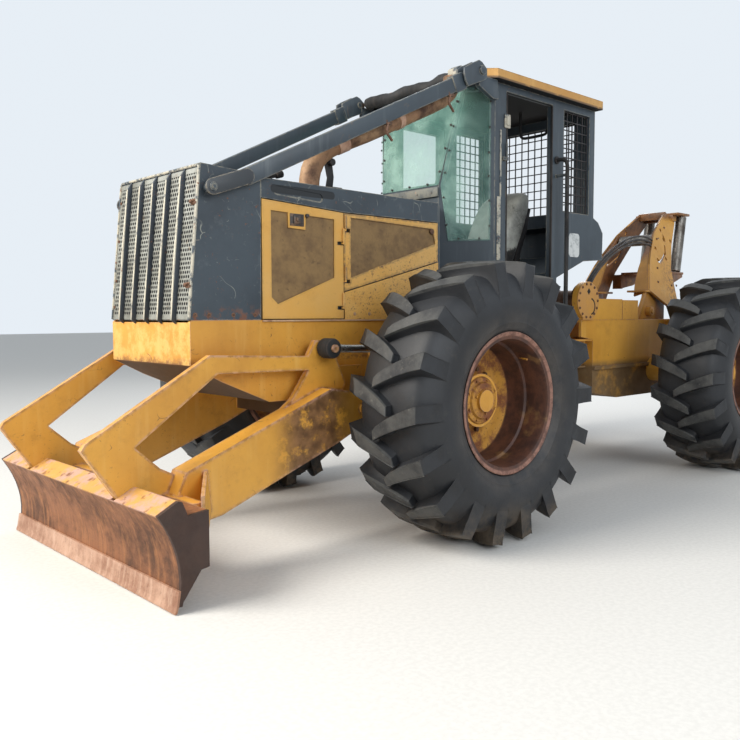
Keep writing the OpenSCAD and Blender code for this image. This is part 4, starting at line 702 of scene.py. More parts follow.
def spun(bm, profile, centre, steps):
    """A profile of y and radius, spun round an axle."""
    cx, cy, cz = centre
    verts = [bm.verts.new(place(cx + r, cy + y, cz)) for y, r in profile]
    edges = [bm.edges.new(pair) for pair in zip(verts, verts[1:])]
    bmesh.ops.spin(bm, geom=verts + edges, cent=place(cx, cy, cz), axis=(0, 1, 0), dvec=(0, 0, 0),
                   angle=2 * math.pi, steps=steps, use_merge=True, use_duplicate=False)


def pipe(bm, route, radius, sides):
    """A tube along a route of points."""
    rings = []
    last = Vector((0.3, -0.9, 0.3))
    for i, point in enumerate(route):
        ahead = (route[min(i + 1, len(route) - 1)] - route[max(i - 1, 0)]).normalized()
        side = ahead.cross(last).normalized()
        last = side.cross(ahead).normalized()
        turn = Matrix((side, last, ahead)).transposed().to_4x4()
        made = bmesh.ops.create_circle(bm, cap_ends=i in (0, len(route) - 1), segments=sides, radius=radius,
                                       matrix=Matrix.Translation(point) @ turn)
        rings.append(made["verts"])
    for pair in zip(rings, rings[1:]):
        edges = {e for ring in pair for v in ring for e in v.link_edges if e.other_vert(v) in set(ring)}
        bmesh.ops.bridge_loops(bm, edges=list(edges))


# Tyres and wheels

LUGS, LUG_START, LUG_WEAR, INNER_DROP = 18, math.radians(-9.6), 4, 24
TREAD_RADIUS, SHOULDER, SHOULDER_WIDE = 868, 190, 97
TYRE_STEPS, RIM_STEPS = 120, 96

# One side of the carcass, from bead to tread, with its moulded ridges: y from the tyre's middle, and radius
SIDEWALL = [
    (251, 407), (251.5, 424), (252, 442), (258, 446), (264, 450), (276, 468), (287, 492), (291, 498),
    (291, 508), (295, 520), (300, 545), (304, 575), (306, 605), (305, 630), (301, 655), (296, 672),
    (288, 692), (279, 712), (268, 734), (256, 754), (243, 771), (228, 785), (208, 797), (180, 806),
    (140, 813), (90, 817), (40, 818), (0, 818)
]

# Along one lug: y, top radius, foot radius, shift along the tread, and width
LUG_PATH = [
    (-60, 877, 806, 0, 56), (-22, 880, 808, 22, 66), (20, 880, 808, 44, 74), (64, 880, 808, 64, 80),
    (110, 880, 805, 84, 84), (154, 879, 798, 101, 88), (196, 877, 786, 116, 91), (232, 875, 764, 128, 94),
    (262, 872, 726, 137, 97), (278, 870, 690, 142, 98), (287, 868, 656, 145, 99)
]

# The rim's front, from its inner flange to the middle of its hub, and its back: y from the middle, and radius
RIM = [
    (-258, 392), (-264, 406), (-268, 436), (-266, 441), (-262, 441), (-254, 420), (-252, 405.6), (252, 405.6),
    (254, 420), (262, 441), (266, 441), (269, 436), (265, 424), (258, 412), (256, 396), (238, 388), (96, 386),
    (86, 372), (66, 368), (-34, 368), (-46, 362), (-52, 340), (-60, 300), (-56, 282), (-64, 262), (-66, 236),
    (-60, 226), (-60, 172), (-50, 160), (20, 156), (34, 146), (38, 120), (52, 112), (56, 60), (55, 0.5)
]
RIM_BACK = [(-258, 392), (-90, 374), (-84, 340), (-84, 150)]


def hub(end, s):
    """The middle of a wheel."""
    return (0 if end == "front" else -WHEELBASE), WHEEL_OUT * s, WHEEL_HIGH


def lug_mesh(shoulder_drop):
    """One lug: a block bent from the tread's middle to the shoulder, with a steep end down the sidewall."""
    bm = bmesh.new()
    bmesh.ops.create_cube(bm, size=1, matrix=Matrix.Translation((0.5, 0, 0.5)))
    for axis, cuts in ((0, 9), (2, 3)):
        edges = [e for e in bm.edges if abs(e.verts[0].co[axis] - e.verts[1].co[axis]) > 0.5]
        bmesh.ops.subdivide_edges(bm, edges=edges, cuts=cuts, use_grid_fill=True)
    last = len(LUG_PATH) - 1
    for v in bm.verts:
        t = min(max(v.co.x, 0), 1) * last
        i = min(int(t), last - 1)
        y, top, foot, shift, width = (a + (b - a) * (t - i) for a, b in zip(LUG_PATH[i], LUG_PATH[i + 1]))
        deep = 1 - v.co.z
        worn = LUG_WEAR + shoulder_drop * max(0, y - SHOULDER) / SHOULDER_WIDE
        r = top - worn - (top - foot) * deep
        # Lower down a lug is wider, and its outer end runs further out
        y += deep * max(0, t - 8) * 7
        turn = (shift + v.co.y * width * (1 + 0.10 * deep + 0.34 * deep ** 3)) / TREAD_RADIUS
        v.co = Vector((r * math.cos(turn), y, r * math.sin(turn))) / 1000
    soften(bm, [e for e in bm.edges if e.is_manifold and e.calc_face_angle(0) > 0.9], 0.0035)
    bmesh.ops.recalc_face_normals(bm, faces=bm.faces)
    return mesh_of("lug", bm)


def tyre_mesh():
    """The whole tyre round its own centre, outer side towards +Y. Its inner lugs have lower shoulders."""
    bm = bmesh.new()
    spun(bm, SIDEWALL + [(-y, r) for y, r in reversed(SIDEWALL[:-1])], (-AXLE_X, 0, 0), TYRE_STEPS)
    lugs = lug_mesh(0), lug_mesh(INNER_DROP)
    for i in range(2 * LUGS):
        start = len(bm.verts)
        bm.from_mesh(lugs[i % 2])
        bm.verts.ensure_lookup_table()
        new = bm.verts[start:]
        if i % 2:
            bmesh.ops.scale(bm, verts=new, vec=(1, -1, 1))
            bmesh.ops.reverse_faces(bm, faces=list({f for v in new for f in v.link_faces}))
        turn = Matrix.Rotation(-LUG_START - i * math.pi / LUGS, 3, "Y")
        bmesh.ops.rotate(bm, verts=new, cent=(0, 0, 0), matrix=turn)
    return mesh_of("tyre", bm)


def make_tyre(mesh, end, side, s):
    """One wheel's copy of the tyre, mirrored on the right side."""
    bm = bmesh.new()
    bm.from_mesh(mesh)
    bmesh.ops.scale(bm, verts=bm.verts, vec=(1, s, 1))
    bmesh.ops.translate(bm, verts=bm.verts, vec=place(*hub(end, s)))
    name, body = f"tyre_{end}_{side}_lugged", f"wheel_{end}_{side}"
    piece = finish_piece(name, bm, body, TYRE, weld=False)
    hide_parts(f"tyre_{end}_{side}")


def make_wheel(end, side, s):
    """The rim, its wheel nuts, the bolts of its hub and of the hub's cap, and the tyre's valve."""
    x, y, z = centre = hub(end, s)
    bm = bmesh.new()
    for profile in (RIM, RIM_BACK):
        spun(bm, [(s * out, r) for out, r in profile], centre, RIM_STEPS)
    bolt_ring(bm, (x, y + s * -60, z), s, 200, 14, 0, 15, 26)
    bolt_ring(bm, (x, y + s * 36, z), s, 132, 8, 22.5, 8, 9, washer=False)
    bolt_ring(bm, (x, y + s * 54, z), s, 82, 3, 20, 9, 9, washer=False)
    round_bar(bm, (x - 250, y + s * 140, z + 268), (x - 240, y + s * 205, z + 258), 7, 10)
    piece = finish_piece(f"wheel_{end}_{side}_turned", bm, f"wheel_{end}_{side}", WHEEL, 40)
    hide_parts(f"rim_{end}_{side}")


# Hoses from the winch to the arch

# Each hose's y on the winch's cover, and its end on the arch's front flange
HOSE_RUNS = ((404, (-3768, 247, 2120)), (382, (-3793, 239, 2150)), (360, (-3818, 232, 2180)))
HOSE_STEPS = 28


def make_hoses():
    """Three hoses that rise steeply from the winch's cover, bend over and come down to the arch."""
    thick = 0.020
    for i, (y, end) in enumerate(HOSE_RUNS):
        a, b = place(-2430, y, 1704), place(*end)
        # The handles of the bend, in metres, a little longer from one hose to the next
        lift = a + Vector((-0.19 - 0.02 * i, 0, 0.235 + 0.02 * i))
        drop = b + Vector((0.45, 0.03, 0.07 + 0.02 * i))
        points = []
        for t in (k / HOSE_STEPS for k in range(HOSE_STEPS + 1)):
            rise = a * (1 - t) ** 3 + lift * 3 * t * (1 - t) ** 2
            points.append(rise + drop * 3 * t * t * (1 - t) + b * t ** 3)
        name = f"winch_hose_{i + 1}"
        curve = bpy.data.curves.new(name, "CURVE")
        curve.dimensions = "3D"
        curve.bevel_depth, curve.bevel_resolution, curve.use_fill_caps = thick / 2, 3, True
        line = curve.splines.new("POLY")
        line.points.add(len(points) - 1)
        for spot, p in zip(line.points, points):
            spot.co = (*p, 1)
        curve.materials.append(HOSE)
        hose = set_down(name, curve)
        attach(hose, "rear")
        length = sum((q - p).length for p, q in zip(points, points[1:]))


# Nose: grille, shroud trim, hood

GRILLE_LOW, GRILLE_TOP, FRAME_TOP, SHROUD_TOP, NOSE = 1683, 1601, 1395, 2264, 479
SHEET_LOW, SHEET_TOP, SHEET_HALF = FRAME_TOP + 5, SHROUD_TOP - 24, NOSE - 12
LIP_TOP, LIP_CORNER, LIP_OUT = SHROUD_TOP - 10, 26, 6
FIN_COUNT, FIN_HALF = 5, 7
HOOD_REAR, HOOD_REAR_TOP, HOOD_RISE = -330, 2216, 0.0085


def grille_x(z):
    """Where the leaning face of the grille is, at a height."""
    return GRILLE_LOW + (GRILLE_TOP - GRILLE_LOW) * (z - FRAME_TOP) / (SHROUD_TOP - FRAME_TOP)


def make_grille():
    """The sheet, and five slightly bent fins in front of it."""
    bm = bmesh.new()
    corners = ((SHEET_LOW, 3), (SHEET_TOP, 3), (SHEET_TOP, -30), (SHEET_LOW, -30))
    plate(bm, [(grille_x(z) + out, z) for z, out in corners], -SHEET_HALF, SHEET_HALF, 1)
    sheet = finish_piece("grille_sheet", bm, "front", GRILLE)
    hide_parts("grille")
    bm = bmesh.new()
    foot, head = SHEET_LOW - 26, SHEET_TOP + 12
    for i in range(1, FIN_COUNT + 1):
        y = -SHEET_HALF + (i - 0.12) * 2 * SHEET_HALF / 5.75
        bulge = (1790 + 60 * math.sin(i), 36 + 5 * math.sin(i * 1.7))
        rows = [(foot, 2), (SHEET_LOW - 4, 32), (1500, 36), bulge, (SHEET_TOP - 40, 34), (head, 4),
                (head, -6), (foot, -0.5)]
        plate(bm, [(grille_x(z) + out, z) for z, out in rows], y - FIN_HALF, y + FIN_HALF, 2)
    finish_piece("grille_fins", bm, "front", FINS)


def lip_leg(s):
    """One leg of the lip round the grille's opening, with its turned corner."""
    straight = (1400, 1600, 1800, 2000, LIP_TOP - LIP_CORNER)
    leg = [place(grille_x(z) + 3, s * (SHEET_HALF + LIP_OUT), z) for z in straight]
    for a in (math.radians(d) for d in (22, 45, 68, 90)):
        y = SHEET_HALF + LIP_OUT - LIP_CORNER + LIP_CORNER * math.cos(a)
        leg.append(place(grille_x(LIP_TOP) + 3, s * y, LIP_TOP - LIP_CORNER + LIP_CORNER * math.sin(a)))
    return leg


def make_shroud_trim():
    """Thin lip round the grille, and the latch lugs and screws on its left and right edges."""
    bm = bmesh.new()
    pipe(bm, lip_leg(-1) + lip_leg(1)[::-1], 0.008, 10)
    finish_piece("shroud_lip", bm, "front", EDGE_WORN)
    bm = bmesh.new()
    edge = SHEET_HALF
    for z in (1590, 2050):
        x = grille_x(z) + 4
        block(bm, (x - 10, edge - 46, z - 16), (x + 8, edge - 4, z + 16), 4)
        round_bar(bm, (x + 4, edge - 30, z), (x + 24, edge - 30, z), 12, 12, 9, 2)
        round_bar(bm, (x + 2, edge - 12, z - 6), (x + 12, edge + 12, z - 6), 7, 10)
        cross_bar(bm, x + 14, z + 8, edge - 44, edge - 4, 5, 10)
    for z in (1475, 1640, 1890, 2130):
        bolt(bm, (grille_x(z) + 3, -edge + 14, z), (1, 0, 0), 7, 6)
    finish_piece("grille_latches", bm, "front", PIN)


def make_door_latches(side, s):
    """Paddle latch in its square tray with the black knob beside it, and the round lock of the rear door."""
    bm = bmesh.new()
    block(bm, (882, s * 470, 1962), (990, s * 482, 2038), 4)
    block(bm, (905, s * 480, 1975), (967, s * 489, 2028), 6)
    cross_bar(bm, 936, 2004, s * 482, s * 497, 17, 16, 15, 2)
    cross_bar(bm, 862, 2030, s * 470, s * 496, 13, 16, 12, 3)
    finish_piece(f"door_latch_{side}", bm, f"door_{side}_front", LATCH)
    bm = bmesh.new()
    cross_bar(bm, -262, 2010, s * 474, s * 486, 20, 20, 19, 2)
    cross_bar(bm, -262, 2010, s * 484, s * 489, 8, 12)
    finish_piece(f"rear_door_lock_{side}", bm, f"door_{side}_rear", PIN)


def make_frame_ledge(side, s):
    """Ledge along the frame's top with the screws of the panel over it, and the shroud's bolts."""
    bm = bmesh.new()
    block(bm, (-318, s * 470, 1384), (1200, s * 492, 1394), 2)
    for x in (-250, -60, 140, 340, 470):
        bolt(bm, (x, s * NOSE, 1430), (0, s, 0), 8, 6)
    finish_piece(f"frame_ledge_{side}", bm, "front", LEDGE)
    bm = bmesh.new()
    for x in (1250, 1400, 1560, 1650):
        bolt(bm, (x, s * NOSE, 1425), (0, s, 0), 9, 6)
    finish_piece(f"shroud_bolts_{side}", bm, "front", PIN)


def make_hood_fittings():
    """Bolts along the hood's sloping edges, two round caps and a small box."""
    bm = bmesh.new()
    for x in (-250, 20, 300, 560, 850, 1120):
        for y in (-440, 440):
            bolt(bm, (x, y, HOOD_REAR_TOP + (x - HOOD_REAR) * HOOD_RISE), (0, 0, 1), 8, 5)
    round_bar(bm, (420, -180, 2212), (420, -180, 2256), 46, 24, 42, 4)
    round_bar(bm, (980, -120, 2218), (980, -120, 2262), 62, 28, 58, 5)
    block(bm, (440, 250, 2214), (520, 330, 2262), 6)
    finish_piece("hood_fittings", bm, "front", DARK)


# Cab: risers, exhaust, glass, seat and small fittings

RISER_FOOT, RISER_HEAD = (1335, 508, 2205), (-570, 646, 3130)
CHEEK = [(-366, 3085), (-366, 3122), (-420, 3155), (-523, 3206), (-556, 3198), (-611, 3160), (-611, 3096),
         (-590, 3080), (-409, 3003), (-380, 3040)]
POST_FOOT = [(-575, 3128), (-580, 3050), (-740, 2985), (-800, 2990), (-790, 3128)]
HOOK = [(0, 0, 0), (10, 6, -30), (22, 10, -62), (16, 8, -84), (-8, 4, -100), (-34, 0, -120)]
HOOK_SHARES, ROUND_END_STEPS = (0.555, 0.845), 8


def outline_capsule(a, b, radius):
    """A plate's outline with two round ends, in x and height."""
    turn = math.atan2(b[1] - a[1], b[0] - a[0])
    points = []
    for (x, z), start in ((b, turn - math.pi / 2), (a, turn + math.pi / 2)):
        for t in (start + math.pi * i / ROUND_END_STEPS for i in range(ROUND_END_STEPS + 1)):
            points.append((x + radius * math.cos(t), z + radius * math.sin(t)))
    return points


def beam(bm, a, b, deep, wide, round_by):
    """A bar of box section between two points, its depth upright."""
    a, b = place(*a), place(*b)
    ahead = (b - a).normalized()
    side = Vector((0, 0, 1)).cross(ahead).normalized()
    turn = Matrix((ahead, side, ahead.cross(side))).transposed().to_4x4()
    size = Matrix.Diagonal(((b - a).length, wide / 1000, deep / 1000, 1))
    made = bmesh.ops.create_cube(bm, size=1, matrix=Matrix.Translation((a + b) / 2) @ turn @ size)
    soften(bm, edges_of(made["verts"]), round_by / 1000)


def along(a, b, t, lift=0, out=0):
    """A point at a share of the way from a to b, lifted and moved to the left."""
    return (a[0] + (b[0] - a[0]) * t, a[1] + (b[1] - a[1]) * t + out, a[2] + (b[2] - a[2]) * t + lift)


def make_risers():
    """The bars, each with its foot's pins, a head of two cheek plates, a foot on the cab and a collar."""
    bm = bmesh.new()
    for s in (1, -1):
        foot, head = ((x, s * y, z) for x, y, z in (RISER_FOOT, RISER_HEAD))
        beam(bm, foot, head, 98, 46, 5)
        cross_bar(bm, 1561, 2130, s * 478, s * 554, 26, 24, None, 4)
        cross_bar(bm, 1561, 2130, s * 550, s * 560, 15, 6)
        cross_bar(bm, 1345, 2207, s * 478, s * 532, 24, 20)
        for y in (672, 606):
            plate(bm, CHEEK, s * y, s * (y + 14), 3)
        cross_bar(bm, -555, 3140, s * 600, s * 696, 20, 20)
        cross_bar(bm, -555, 3140, s * 686, s * 700, 31, 24, None, 3)
        plate(bm, POST_FOOT, s * 603, s * 640, 4)
        beam(bm, along(foot, head, 0.86), along(foot, head, 0.91), 118, 58, 4)
        bolt(bm, along(foot, head, 0.94, 0, s * 22), (0, s, 0), 12, 12)
    risers = finish_piece("limb_risers_worn", bm, "front", DARK)
    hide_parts("limb_risers")


def make_riser_fittings():
    """Link plates at the risers' feet, boots at the lift cylinders' eyes, and hooks under the near riser."""
    bm = bmesh.new()
    for s in (1, -1):
        plate(bm, outline_capsule((1561, 2130), (1333, 2211), 46), s * 531, s * 546, 3)
    finish_piece("riser_links", bm, "front", LINK)
    bm = bmesh.new()
    for s in (1, -1):
        cross_bar(bm, 830, 1221, s * 600, s * 700, 62, 32, None, 14)
    finish_piece("eye_boots", bm, "blade_arms", BLACK, 35)
    bm = bmesh.new()
    for t in HOOK_SHARES:
        x, y, z = along(RISER_FOOT, RISER_HEAD, t, -52)
        block(bm, (x - 26, y - 14, z - 14), (x + 26, y + 22, z + 12), 3)
        base = place(*along(RISER_FOOT, RISER_HEAD, t, -44, 12))
        pipe(bm, [base + Vector(q) / 1000 for q in HOOK], 0.009, 10)
    finish_piece("riser_hooks", bm, "front", PIN)


TAILPIPE_ROUTE = [
    (700, 300, 2175), (699, 300, 2230), (696, 301, 2290), (686, 306, 2350), (664, 317, 2408),
    (626, 335, 2460), (572, 358, 2503), (505, 382, 2540), (430, 404, 2574), (340, 424, 2614),
    (200, 444, 2680), (68, 460, 2743), (-100, 476, 2824), (-240, 488, 2891), (-330, 496, 2938),
    (-392, 504, 2990), (-424, 510, 3040), (-436, 512, 3076), (-438, 512, 3100)
]
PIPE_RADIUS, CLAMP_RADIUS, CLAMP_SLOPE = 0.066, 0.072, 0.006
RUBBER_LENGTH, RUBBER_STEPS, RUBBER_RADIUS = 960, 18, 0.047


def make_exhaust():
    """The bent tailpipe with two clamps, the bracket behind its elbow, and the capped stub beside it."""
    route = [place(*q) for q in TAILPIPE_ROUTE]
    bm = bmesh.new()
    pipe(bm, route, PIPE_RADIUS, 28)
    tail = finish_piece("tailpipe", bm, "front", TAILPIPE, 40)
    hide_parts("exhaust")
    bm = bmesh.new()
    for i, half in ((7, 0.040), (11, 0.022)):
        ahead = (route[i + 1] - route[i - 1]).normalized()
        inner = half - CLAMP_SLOPE
        pipe(bm, [route[i] + ahead * t for t in (-half, -inner, inner, half)], CLAMP_RADIUS, 28)
    finish_piece("exhaust_clamps", bm, "front", EDGE, 35)
    bm = bmesh.new()
    bracket = [(560, 2224), (500, 2224), (486, 2330), (500, 2420), (545, 2440), (560, 2400), (540, 2320)]
    plate(bm, bracket, 286, 296, 2)
    cross_bar(bm, 520, 2420, 270, 330, 24, 20, None, 5)
    round_bar(bm, (520, 286, 2224), (430, 286, 2224), 12, 12)
    round_bar(bm, (860, 60, 2222), (860, 60, 2318), 12, 16)
    round_bar(bm, (872, 60, 2312), (780, 60, 2340), 15, 16)
    round_bar(bm, (785, 60, 2338), (735, 60, 2353), 24, 24, None, 5)
    finish_piece("hood_stub", bm, "front", BLACK, 35)


def make_roof_edge():
    """Sagging rubber along the roof's front edge, and the bracket that holds its left end."""
    bm = bmesh.new()
    route = []
    for i in range(RUBBER_STEPS + 1):
        z = 3144 + 9 * math.sin(i * 0.9) + 14 * i / RUBBER_STEPS
        route.append(place(-612 + 6 * math.sin(i * 1.3), -560 + RUBBER_LENGTH * i / RUBBER_STEPS, z))
    pipe(bm, route, RUBBER_RADIUS, 18)
    for v in bm.verts:
        v.co.z += 0.006 * math.sin(v.co.y * 31) * math.cos(v.co.x * 60)
    finish_piece("roof_edge_rubber", bm, "front", BLACK, 50)
    bm = bmesh.new()
    plate(bm, [(-430, 3104), (-430, 3160), (-470, 3186), (-560, 3196), (-560, 3104)], 470, 560, 6)
    front = [(-560, 3186), (-590, 3206), (-650, 3206), (-650, 3128), (-620, 3100), (-570, 3100)]
    plate(bm, front, 396, 470, 6)
    finish_piece("roof_edge_bracket", bm, "front", EDGE_WORN, 35)


# The windshield's foot and lean, the panes' edges, and how far a quarter pane runs back and out
SHIELD_X, SHIELD_Z, SHIELD_LEAN = -530, 2380, math.tan(math.radians(10.4))
PANE_LOW, PANE_TOP, PANE_THICK = 1972, 3092, 0.006
QUARTER_BACK, QUARTER_OUT = 280, 307
QUARTER_WIDE = math.hypot(QUARTER_OUT, QUARTER_BACK)
LEDGE_SCREWS = (-230, -70, 90, 240)


def quad_pane(bm, corners):
    """A flat pane of glass on four or five points, with rounded edges."""
    verts = [bm.verts.new(c) for c in corners]
    face = bm.faces.new(verts)
    face.normal_update()
    soften(bm, edges_of(verts + thicken(bm, [face], face.normal * PANE_THICK)), 0.0015, 1)


def edge_points(corners, step):
    """Points along the edge of a pane, for its bolts."""
    middle = sum(corners, Vector()) / len(corners)
    points = []
    for a, b in zip(corners, corners[1:] + corners[:1]):
        count = max(1, round((b - a).length / step))
        for i in range(count):
            p = a + (b - a) * (i + 0.5) / count
            points.append(p + (middle - p).normalized() * 0.016)
    return points


def bolted_pane(panes, bolts, corners, step, radius, proud):
    """A pane, and its bolts, which stand proud of it."""
    quad_pane(panes, corners)
    out = (corners[1] - corners[0]).cross(corners[2] - corners[0]).normalized()
    for p in edge_points(corners, step):
        round_bar(bolts, unplace(p - out * 0.002), unplace(p + out * proud), radius, 12)


def shield_point(y, z):
    """A point just in front of the leaning windshield."""
    return place(SHIELD_X - (z - SHIELD_Z) * SHIELD_LEAN + 3, y, z)


def quarter_point(s, d, z):
    """A point just outside a quarter pane, at a way d from its front post."""
    share = d / QUARTER_WIDE
    return place(SHIELD_X - QUARTER_BACK * share + 3, s * (293 + QUARTER_OUT * share + 2.6), z)


def make_glass():
    """Windshield and two quarter panes, bolted on over the posts, and the pale ledge under the windshield."""
    panes, bolts = bmesh.new(), bmesh.new()
    corners = [shield_point(y, z) for y, z in ((-298, 2384), (298, 2384), (414, PANE_TOP), (-414, PANE_TOP))]
    bolted_pane(panes, bolts, corners, 0.19, 8, 0.014)
    rear = QUARTER_WIDE - 30
    for s in (1, -1):
        outline = [(16, 2382), (72, PANE_LOW), (rear, PANE_LOW), (rear, PANE_TOP), (160, PANE_TOP)]
        corners = [quarter_point(s, d, z) for d, z in outline[::s]]
        bolted_pane(panes, bolts, corners, 0.20, 7, 0.013)
    glass_piece = finish_piece("cab_panes", panes, "front", PANE)
    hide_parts("cab_glass")
    finish_piece("pane_bolts", bolts, "front", BLACK)
    bm = bmesh.new()
    block(bm, (-524, -300, 2300), (-512, 300, 2372), 4)
    for y in LEDGE_SCREWS:
        bolt(bm, (-513, y, 2335), (1, 0, 0), 8, 7)
    finish_piece("shield_ledge", bm, "front", LEDGE_GREY)


# Y and height of the handle that hangs from the roof, and of the grab rail behind the left doorway
ROOF_HANDLE = [(158, 3126), (156, 3040), (157, 2960), (164, 2928), (182, 2910), (212, 2905), (300, 2904),
               (382, 2905), (412, 2910), (430, 2928), (437, 2960), (438, 3040), (438, 3126)]
GRAB_RAIL = [(706, 1330), (706, 1700), (706, 2100), (706, 2450), (704, 2600), (694, 2636), (672, 2652),
             (640, 2656), (604, 2656)]


def make_cab_fittings():
    """Seals, handles and worn places round the open left doorway."""
    # Worn strip of the door seal on the left post, and the rubbed hinge block
    bm = bmesh.new()
    block(bm, (-878, 600.5, 1830), (-836, 604, 2300), 1)
    block(bm, (-884, 600.5, 2300), (-866, 604, 2790), 1)
    block(bm, (-980, 600.5, 2812), (-915, 612, 2912), 4)
    block(bm, (-968, 611, 2828), (-928, 622, 2896), 4)
    finish_piece("post_strip", bm, "front", EDGE_WORN)
    # Seal round the doorway, and both handles
    bm = bmesh.new()
    for x0, z0, x1, z1 in ((-948, 1400, -948, 3070), (-1527, 1400, -1527, 3070), (-1527, 3072, -948, 3072)):
        block(bm, (x0 - 5, 588, z0), (x1 + 5, 607, z1), 4)
    pipe(bm, [place(-1700, y, z) for y, z in ROOF_HANDLE], 0.012, 12)
    pipe(bm, [place(-1590, y, z) for y, z in GRAB_RAIL], 0.0155, 14)
    cross_bar(bm, -1590, 2656, 602, 612, 30, 20)
    finish_piece("doorway_fittings", bm, "front", BLACK, 35)
    # Bare rounded patch on the lower rear panel
    bm = bmesh.new()
    patch = []
    for i, (x, z) in enumerate(((-1812, 2060), (-1900, 2060), (-1900, 1930), (-1812, 1930))):
        for a in (math.pi / 2 * (i + k / 4) for k in range(5)):
            patch.append((x + 32 * math.cos(a), z + 32 * math.sin(a)))
    plate(bm, patch, 600.2, 601.4)
    finish_piece("panel_patch", bm, "front", PATCH)


BELLOWS_RIDGES, CUSHION_RINGS = (1450, 1480, 1510, 1540, 1570), 9

# Side outlines of the seat, in x and height
SEAT_BASE = [(-1500, 1642), (-1100, 1642), (-1064, 1668), (-1058, 1710), (-1080, 1752), (-1160, 1772),
             (-1300, 1770), (-1440, 1764), (-1510, 1748), (-1524, 1700)]
SEAT_BACK = [(-1400, 1782), (-1382, 1850), (-1390, 1950), (-1424, 2070), (-1480, 2190), (-1540, 2300),
             (-1606, 2396), (-1690, 2466), (-1780, 2484), (-1806, 2440), (-1776, 2330), (-1722, 2200),
             (-1660, 2070), (-1598, 1950), (-1550, 1850), (-1516, 1790), (-1460, 1772)]
SEAT_FRAME = [(-1530, 1660), (-1560, 1760), (-1600, 1950), (-1680, 2130), (-1766, 2330), (-1800, 2330),
              (-1740, 2120), (-1660, 1940), (-1620, 1760), (-1590, 1660)]


def cushion(name, outline, half):
    """A padded pad: a side outline drawn in towards both sides, and made soft by subdivision."""
    bm = bmesh.new()
    cx = sum(x for x, _ in outline) / len(outline)
    cz = sum(z for _, z in outline) / len(outline)
    rings = []
    for k in range(CUSHION_RINGS):
        t = k / (CUSHION_RINGS - 1) * 2 - 1
        squeeze = 1 - 0.16 * abs(t) ** 6
        points = [place(cx + (x - cx) * squeeze, half * t, cz + (z - cz) * squeeze) for x, z in outline]
        rings.append([bm.verts.new(p) for p in points])
    for ring in rings:
        for a, b in zip(ring, ring[1:] + ring[:1]):
            bm.edges.new((a, b))
    for pair in zip(rings, rings[1:]):
        loops = {e for ring in pair for e in edges_of(ring) if all(v in ring for v in e.verts)}
        bmesh.ops.bridge_loops(bm, edges=list(loops))
    for ring in (rings[0], rings[-1]):
        bm.faces.new(ring)
    bmesh.ops.smooth_vert(bm, verts=bm.verts, factor=0.35, use_axis_x=True, use_axis_y=True, use_axis_z=True)
    piece = finish_piece(name, bm, "front", SEAT, 180)
    soft = piece.modifiers.new("soft", "SUBSURF")
    soft.levels = soft.render_levels = 3
    return piece


def make_seat():
    """Cushion and back, on a base with bellows and a torn back frame."""
    low = cushion("seat_cushion", SEAT_BASE, 246)
    high = cushion("seat_back", SEAT_BACK, 236)
    bm = bmesh.new()
    block(bm, (-1480, -190, 1352), (-1160, 190, 1420), 10)
    block(bm, (-1440, -160, 1416), (-1210, 160, 1600), 14)
    block(bm, (-1510, -215, 1596), (-1110, 215, 1640), 10)
    plate(bm, SEAT_FRAME, -205, 205, 8)
    for z in BELLOWS_RIDGES:
        block(bm, (-1448, -168, z - 7), (-1202, 168, z + 7), 5)
    finish_piece("seat_frame", bm, "front", BLACK, 35)
    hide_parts("seat")


# Arch: leaning side plates with their holes, flanges, cap and roller carriers

# A side plate's outlines are in x and in s, which runs up the plate from its knee
KNEE_X, KNEE_Y, KNEE_Z = -3487, 400, 1660
ARCH_LEAN, PLATE_THICK = math.atan(0.3), 25
ARCH_FRONT = [(KNEE_X, 0), (-3556, 139), (-3624, 277), (-3720, 419), (-3806, 524), (-3892, 629), (-4045, 742)]
FLANGE_DEPTHS = [180, 167, 130, 90, 60, 28, 26]
ARCH_SIDE = [(-4246, 889.5), (-4412, 792), (-4194, 506), (-4041, 234), (-4002, -107), (-4070, -299),
             (-3800, -299), (-3781, -157), (KNEE_X, 0), (-3624, 277), (-3720, 419), (-3892, 629),
             (-4045, 742)]
ARCH_PEAR = [(-4060, 628), (-4036, 572), (-4038, 550), (-4050, 536), (-4070, 536), (-4082, 550), (-4084, 572)]
ARCH_HOOK = [(-4048, 500), (-4030, 500), (-4000, 420), (-3900, 345), (-3852, 320), (-3834, 332), (-3816, 352),
             (-3797, 345), (-3808, 312), (-3842, 290), (-3880, 305), (-4020, 400)]
ROUND_HOLES, HOLE_RADIUS, HOLE_SIDES = ((-4034, 665), (-4191, 555), (-3830, 458), (-3994, 349)), 19, 14
FOOT_WEB = [(-3450, 1650), (-3380, 1374), (-3860, 1374), (-3860, 1650)]
FOOT_STRUT = [(-3440, 1650), (-3270, 1374), (-3320, 1374), (-3480, 1650)]
CARRIER_WEB = [(-4000, 1700), (-4000, 1852), (-4490, 1852), (-4490, 1822), (-4250, 1740)]
ARCH_CAP = [(-4246, 2512), (-4412, 2440), (-4412, 2416), (-4250, 2484), (-4246, 2432), (-4226, 2432),
            (-4226, 2504)]
ARCH_BOLTS = ((-3700, 90), (-3960, 60), (-3760, 240), (-4060, 60), (-3905, 560), (-4130, 700))


def on_arch(x, s, depth, side):
    """A point of a leaning side plate: along it, up it from its knee, and inward from its outer face."""
    y = KNEE_Y - s * math.sin(ARCH_LEAN) - depth * math.cos(ARCH_LEAN)
    return place(x, side * y, KNEE_Z + s * math.cos(ARCH_LEAN) - depth * math.sin(ARCH_LEAN))


